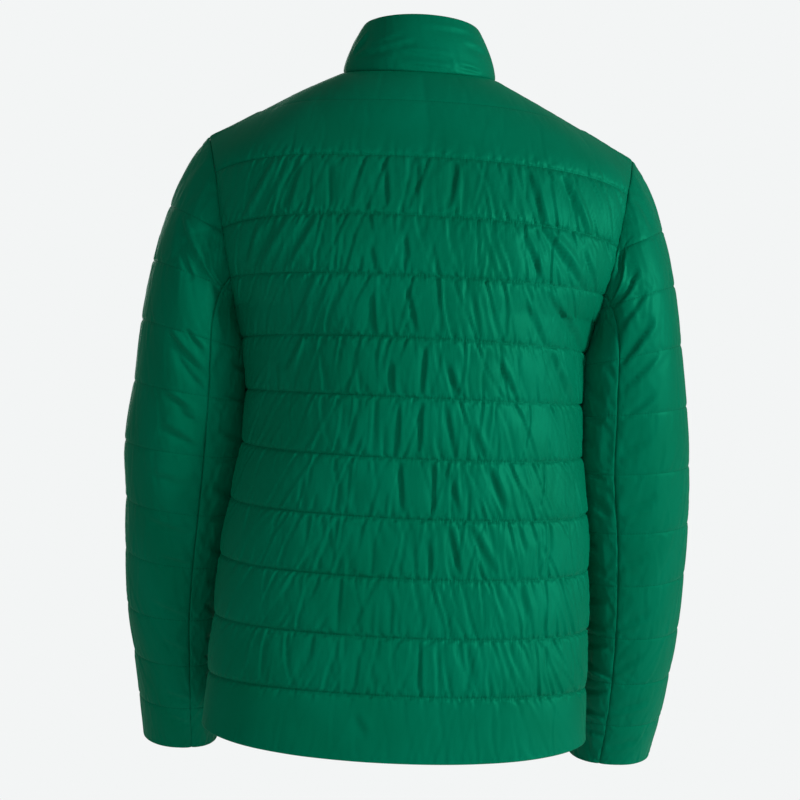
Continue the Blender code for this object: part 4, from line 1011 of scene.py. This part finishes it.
def alongPaths(name, paths, tree, piece, sizes, finish):
    mesh = bpy.data.meshes.new(name)
    first, edges = 0, []
    for points, _ in paths:
        edges += [(first + k, first + k + 1) for k in range(len(points) - 1)]
        first += len(points)
    mesh.from_pydata((np.concatenate([points for points, _ in paths]) * mm).tolist(), edges, [])
    ways = np.concatenate([ways for _, ways in paths]).astype(np.float32)
    mesh.attributes.new("up", "FLOAT_VECTOR", "POINT").data.foreach_set("vector", ways.ravel())
    made = placed(name, mesh)
    change = made.modifiers.new("row", "NODES")
    change.node_group = tree
    for item in tree.interface.items_tree:
        if item.in_out == "INPUT" and item.name != "Paths":
            given = {"Piece": piece, "Finish": finish}.get(item.name)
            change[item.identifier] = given or sizes.get(item.name.lower(), 0.0) * mm
    plain = bpy.data.meshes.new_from_object(made.evaluated_get(bpy.context.evaluated_depsgraph_get()))
    made.modifiers.remove(change)
    made.data = plain
    bpy.data.meshes.remove(mesh)
    bpy.data.objects.remove(piece)
    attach(made, "jacket")
    print(f"{name}: {len(plain.polygons)} faces")
    return made


def seedPiece(name, form, size, smoothed):
    bmesh.ops.scale(form, vec=Vector(size) * mm / 2, verts=form.verts)
    mesh = bpy.data.meshes.new(name)
    form.to_mesh(mesh)
    form.free()
    for face in mesh.polygons:
        face.use_smooth = smoothed
    return placed(name, mesh)


def stitchSeed():
    # one stitch: a short bead of thread, sunk half into the shell
    form = bmesh.new()
    bmesh.ops.create_icosphere(form, subdivisions=1, radius=1.0)
    return seedPiece("stitch", form, (stitching["length"], stitching["thick"], stitching["thick"]), True)


def toothSeed():
    # one moulded tooth: a block with its corners taken off
    form = bmesh.new()
    bmesh.ops.create_cube(form, size=2.0)
    bmesh.ops.bevel(form, geom=list(form.edges), offset=zipRow["corner"], segments=1, profile=0.5,
                    affect="EDGES")
    return seedPiece("tooth", form, zipRow["tooth"], False)


# Finishes

def linear(code):
    parts = [int(code[k: k + 2], 16) / 255 for k in (1, 3, 5)]
    return tuple(c / 12.92 if c <= 0.04045 else ((c + 0.055) / 1.055) ** 2.4 for c in parts) + (1.0,)


def addNode(tree, kind, settings=None, **inputs):
    # settings are the node's own. An input is given by its socket's name, or n and its number:
    # a value, one of another node's sockets, or the node itself for its first one
    node = tree.nodes.new(kind)
    for key, value in (settings or {}).items():
        setattr(node, key, value)
    for key, value in inputs.items():
        socket = node.inputs[int(key[1:]) if key[1:].isdigit() else key.replace("_", " ")]
        if isinstance(value, bpy.types.Node):
            value = value.outputs[0]
        if isinstance(value, bpy.types.NodeSocket):
            tree.links.new(value, socket)
        else:
            socket.default_value = value
    return node


def freshMaterial(name, **looks):
    made = bpy.data.materials.new(name)
    made.use_nodes = True
    shader = made.node_tree.nodes["Principled BSDF"]
    for key, value in looks.items():
        shader.inputs[key.replace("_", " ")].default_value = value
    return made, made.node_tree, shader


def dyed(tree, grain, dark, light, ends):
    # a colour that drifts between two with a noise
    dye = addNode(tree, "ShaderNodeValToRGB", Fac=grain)
    for stop, place, colour in zip(dye.color_ramp.elements, ends, (dark, light)):
        stop.position, stop.color = place, linear(colour)
    return dye.outputs[0]


taffeta = {
    "middle": "#00593f", "light": "#006147", "drift": 111.0,   # the dye varies a little across a bolt
    "roughness": (0.45, 0.57), "specular": 0.4, "glow": "#00c896",   # dyed filaments glint in their dye
    "metal": 0.15, "sheen": 0.35, "sheenRough": 0.45, "bloom": "#00845c",   # which shows edge-on too
    "ior": 1.22,             # low, because the weave breaks up the mirror of the nylon
    "thread": 0.32,          # real yarns lie 0.1 apart; drawn coarser so that they show
    "weaveDepth": 0.02,
    "puckerWide": 2.6, "puckerLong": 16.0, "puckerDepth": 1.1, "puckerReach": 4.5,
    "crinkleWide": 7.0, "crinkleLong": 34.0, "crinkleDepth": 0.5,
}


def makeTaffeta():
    # calendered polyamide taffeta: a soft satin bloom on a deep dye, a faint grain, and the
    # finest gathers beside each stitched line, finer than the mesh holds
    look = taffeta
    made, tree, shader = freshMaterial(
        "taffetaCalendered", IOR=look["ior"], Specular_IOR_Level=look["specular"],
        Specular_Tint=linear(look["glow"]), Metallic=look["metal"], Sheen_Weight=look["sheen"],
        Sheen_Roughness=look["sheenRough"], Sheen_Tint=linear(look["bloom"]))
    where = addNode(tree, "ShaderNodeUVMap", {"uv_map": "cut"})
    swell = addNode(tree, "ShaderNodeTexNoise", Vector=where, Scale=1 / (look["drift"] * mm), Detail=3.0)
    dye = dyed(tree, swell, look["middle"], look["light"], (0.3, 0.72))
    tree.links.new(dye, shader.inputs["Base Color"])
    dull, dullest = look["roughness"]
    gloss = addNode(tree, "ShaderNodeMapRange", Value=swell, To_Min=dull, To_Max=dullest)
    tree.links.new(gloss.outputs[0], shader.inputs["Roughness"])

    stitch, gather = (addNode(tree, "ShaderNodeAttribute", {"attribute_name": name}).outputs["Fac"]
                      for name in ("stitch", "gather"))
    reach = addNode(tree, "ShaderNodeMath", {"operation": "MULTIPLY"}, n0=stitch,
                    n1=-1 / look["puckerReach"])
    near = addNode(tree, "ShaderNodeMath", {"operation": "EXPONENT"}, n0=reach)
    held = addNode(tree, "ShaderNodeMath", {"operation": "MULTIPLY"}, n0=near, n1=gather)
    below = {}
    for name, mask in (("crinkle", gather), ("pucker", held)):
        size = (1 / (look[name + "Wide"] * mm), 1 / (look[name + "Long"] * mm), 1.0)
        spread = addNode(tree, "ShaderNodeVectorMath", {"operation": "MULTIPLY"}, n0=where, n1=size)
        fold = addNode(tree, "ShaderNodeTexNoise", Vector=spread, Scale=1.0, Detail=1.5, Distortion=0.3)
        height = addNode(tree, "ShaderNodeMath", {"operation": "MULTIPLY"}, n0=fold, n1=mask)
        depth = look[name + "Depth"] * mm
        bump = addNode(tree, "ShaderNodeBump", Strength=1.0, Distance=depth, Height=height, **below)
        below = {"Normal": bump}
    split = addNode(tree, "ShaderNodeSeparateXYZ", n0=where)
    waves = []
    for axis in (0, 1):
        turn = addNode(tree, "ShaderNodeMath", {"operation": "MULTIPLY"}, n0=split.outputs[axis],
                       n1=2 * math.pi / (look["thread"] * mm))
        waves.append(addNode(tree, "ShaderNodeMath", {"operation": "SINE"}, n0=turn))
    grain = addNode(tree, "ShaderNodeMath", {"operation": "MULTIPLY"}, n0=waves[0], n1=waves[1])
    weave = addNode(tree, "ShaderNodeBump", Strength=0.35, Distance=look["weaveDepth"] * mm,
                    Height=grain, Normal=bump)
    tree.links.new(weave.outputs[0], shader.inputs["Normal"])
    return made


def mottled(name, colours, grainSize, rough, depth, ribs=None, **looks):
    # a finish whose colour and gloss vary a little in a fine grain that also lifts the surface
    made, tree, shader = freshMaterial(name, **looks)
    where = addNode(tree, "ShaderNodeTexCoord").outputs["Object"]
    grain = addNode(tree, "ShaderNodeTexNoise", Vector=where, Scale=1 / (grainSize * mm), Detail=4.0)
    tree.links.new(dyed(tree, grain, *colours, (0.35, 0.65)), shader.inputs["Base Color"])
    gloss = addNode(tree, "ShaderNodeMapRange", Value=grain, To_Min=rough[0], To_Max=rough[1])
    tree.links.new(gloss.outputs[0], shader.inputs["Roughness"])
    bump = addNode(tree, "ShaderNodeBump", Strength=0.6, Distance=depth * mm, Height=grain)
    if ribs:
        pitch, high = ribs
        split = addNode(tree, "ShaderNodeSeparateXYZ", n0=where)
        turn = addNode(tree, "ShaderNodeMath", {"operation": "MULTIPLY"}, n0=split.outputs["Z"],
                       n1=2 * math.pi / (pitch * mm))
        wave = addNode(tree, "ShaderNodeMath", {"operation": "SINE"}, n0=turn)
        bump = addNode(tree, "ShaderNodeBump", Strength=0.7, Distance=high * mm, Height=wave, Normal=bump)
    tree.links.new(bump.outputs[0], shader.inputs["Normal"])
    return made


def makeThreadPaintedShade():
    # spun polyester thread; its colour, darker than the shell, is partly the thread's own and partly painted
    # shade, which darkens each stitched line as the shade in its notch would
    return mottled("threadPolyesterPaintedShade", ("#003c29", "#00462f"), 0.45, (0.7, 0.85), 0.05,
                   Specular_IOR_Level=0.1, IOR=1.2)


def makeTeeth():
    # moulded acetal: an even, waxy half-gloss beside the cloth
    return mottled("acetalMoulded", ("#0a4632", "#0d5039"), 1.1, (0.32, 0.42), 0.03)


def makePaint():
    # stove-enamelled zinc: a smooth hard gloss with a trace of orange peel
    return mottled("zincEnamelled", ("#0b3d2d", "#0e4634"), 0.7, (0.22, 0.32), 0.02, Coat_Weight=0.4)


def makeTape():
    # woven polyester tape: matt, with ribs across it
    return mottled("tapeWovenPolyester", ("#00402c", "#004a34"), 1.4, (0.7, 0.82), 0.05, (0.7, 0.12))


# The jacket

shell = makeTaffeta()
quiltPaths = []
seeds = {"back": 11, "front": 31, "sleeve": 51, "collar": 71}
mirrored = {"front": 9, "sleeve": 7, "share": 0.7}   # mm aside, and depth, of creases used twice


def addPanel(name, node, panel, height, lines):
    made = panelWall(name, panel, height)
    quiltPaths.extend(stitchPaths(panel, lines))
    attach(made, "jacket")
    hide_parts(node)


print("shell panels")
panel = bodyPanel(False, 0)
panel["gather"] = gathering(panel, body["gather"], body["smoothLeft"])
creases = creaseRelief(panel, backCreases, panel["grid"][:, :, 0])
height = padding(panel, body["puff"], body["faint"], seeds["back"], creases)
addPanel("backPanel", "back_panel", panel, height, range(1, body["hem"]))
fronts = {}
for side, name in ((1, "Left"), (-1, "Right")):
    panel = fronts[name] = bodyPanel(True, side)
    panel["gather"] = gathering(panel, puckers["elsewhere"])
    fromZip = np.abs(panel["around"]) + (mirrored["front"] if side < 0 else 0)
    creases = creaseRelief(panel, frontCreases, fromZip)
    height = padding(panel, body["puff"], body["faint"], seeds["front"] + side, creases)
    addPanel("frontPanel" + name, "front_panel_" + name.lower(), panel, height, range(1, body["hem"]))
    for part, panel in zip(("upper", "under"), sleevePanels(side)):
        outer = part == "upper"
        panel["gather"] = gathering(panel, sleeve["gather"] if outer else puckers["elsewhere"])
        table = sleeveCreases[part + "Sleeve" + name]
        creases = creaseRelief(panel, table, panel["around"])
        hidden = -panel["around"] - mirrored["sleeve"] * side
        creases += mirrored["share"] * creaseRelief(panel, table, hidden)
        lines = range(1, sleeve["cuff"])
        faint = {**dict.fromkeys(lines, sleeve["faint"][part]), sleeve["cuff"]: 0.0}
        seed = seeds["sleeve"] + side + outer
        height = padding(panel, sleeve["puff"], faint, seed, creases, sleeve["dig"])
        addPanel(part + "Sleeve" + name, f"{part}_sleeve_{name.lower()}", panel, height, lines)
standCollar = collarPanel()
standCollar["gather"] = gathering(standCollar, collar["gather"])
creases = creaseRelief(standCollar, collarCreases, standCollar["around"])
height = padding(standCollar, collar["puff"], collar["faint"], seeds["collar"], creases)
addPanel("standCollar", "stand_collar", standCollar, height, ())

print("stitches")
row = rowTree()
# the thread's dark colour puts painted shade along every quilting line
alongPaths("quiltStitches", quiltPaths, row, stitchSeed(), stitching, makeThreadPaintedShade())

print("zip")
path = zipMiddle(fronts["Left"], standCollar)
teeth = alongPaths("zipTeeth", [path], row, toothSeed(), zipRow, makeTeeth())
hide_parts("zip_chain")
tapeFinish, paint = makeTape(), makePaint()
for node in ("zip_tape_left", "zip_tape_right", "zip_bottom_box", "zip_slider", "zip_pull"):
    for slot in bpy.data.objects[node].material_slots:
        slot.material = tapeFinish if "tape" in node else paint


# Studio

studio = {
    "distance": 3.0, "height": -0.334, "lens": 128.0, "azimuth": 177.0, "roll": 2.65,
    "aimX": 0.0105, "floor": -1.16, "floorRadius": 2.4, "paper": "#f3f5f5",
    "room": 0.27,            # what the white room gives back; the lamps do the rest
    # place in m, size in m, power in W
    "key": ((-2.75, 1.6, 0.4), 0.5, 114.0), "fill": ((0.8, 3.2, 0.2), 1.2, 27.0),
    "front": ((0.6, -3.2, 0.2), 1.8, 26.0), "lampsAim": (0, 0, -0.3),
}


def aim(thing, at):
    thing.rotation_mode = "QUATERNION"
    thing.rotation_quaternion = (Vector(at) - thing.location).to_track_quat("-Z", "Y")


def addStudio():
    turn = math.radians(studio["azimuth"])
    camera = placed("camera", bpy.data.cameras.new("camera"))
    target = Vector((studio["aimX"], 0, studio["height"]))
    camera.location = target + studio["distance"] * Vector((math.sin(turn), -math.cos(turn), 0))
    aim(camera, target)
    roll = Matrix.Rotation(math.radians(studio["roll"]), 4, "Z").to_quaternion()
    camera.rotation_quaternion = camera.rotation_quaternion @ roll
    camera.data.lens = studio["lens"]
    camera.data.clip_start = 0.02
    bpy.context.scene.camera = camera
    paper = bpy.data.meshes.new("paperFloor")
    radius, sides = studio["floorRadius"], 64
    turns = [2 * math.pi * k / sides for k in range(sides)]
    corners = [(radius * math.cos(t), radius * math.sin(t), studio["floor"]) for t in turns]
    paper.from_pydata(corners, [], [list(range(sides))])
    placed("paperFloor", paper)
    white = linear(studio["paper"])
    paper.materials.append(freshMaterial("paperMatt", Base_Color=white, Roughness=0.9)[0])
    world = bpy.data.worlds.new("room")
    bpy.context.scene.world = world
    world.use_nodes = True
    tree = world.node_tree
    seen = tree.nodes["Background"]
    seen.inputs["Color"].default_value = white
    room = addNode(tree, "ShaderNodeBackground", Color=white, Strength=studio["room"])
    ray = addNode(tree, "ShaderNodeLightPath").outputs["Is Camera Ray"]
    both = addNode(tree, "ShaderNodeMixShader", n0=ray, n1=room, n2=seen)
    tree.links.new(both.outputs[0], tree.nodes["World Output"].inputs["Surface"])
    for name in ("key", "fill", "front"):
        place, size, power = studio[name]
        lamp = bpy.data.lights.new(name, "AREA")
        lamp.energy, lamp.size = power, size
        thing = placed(name, lamp)
        thing.location = place
        aim(thing, studio["lampsAim"])
    bpy.context.scene.view_settings.view_transform = "Standard"


addStudio()
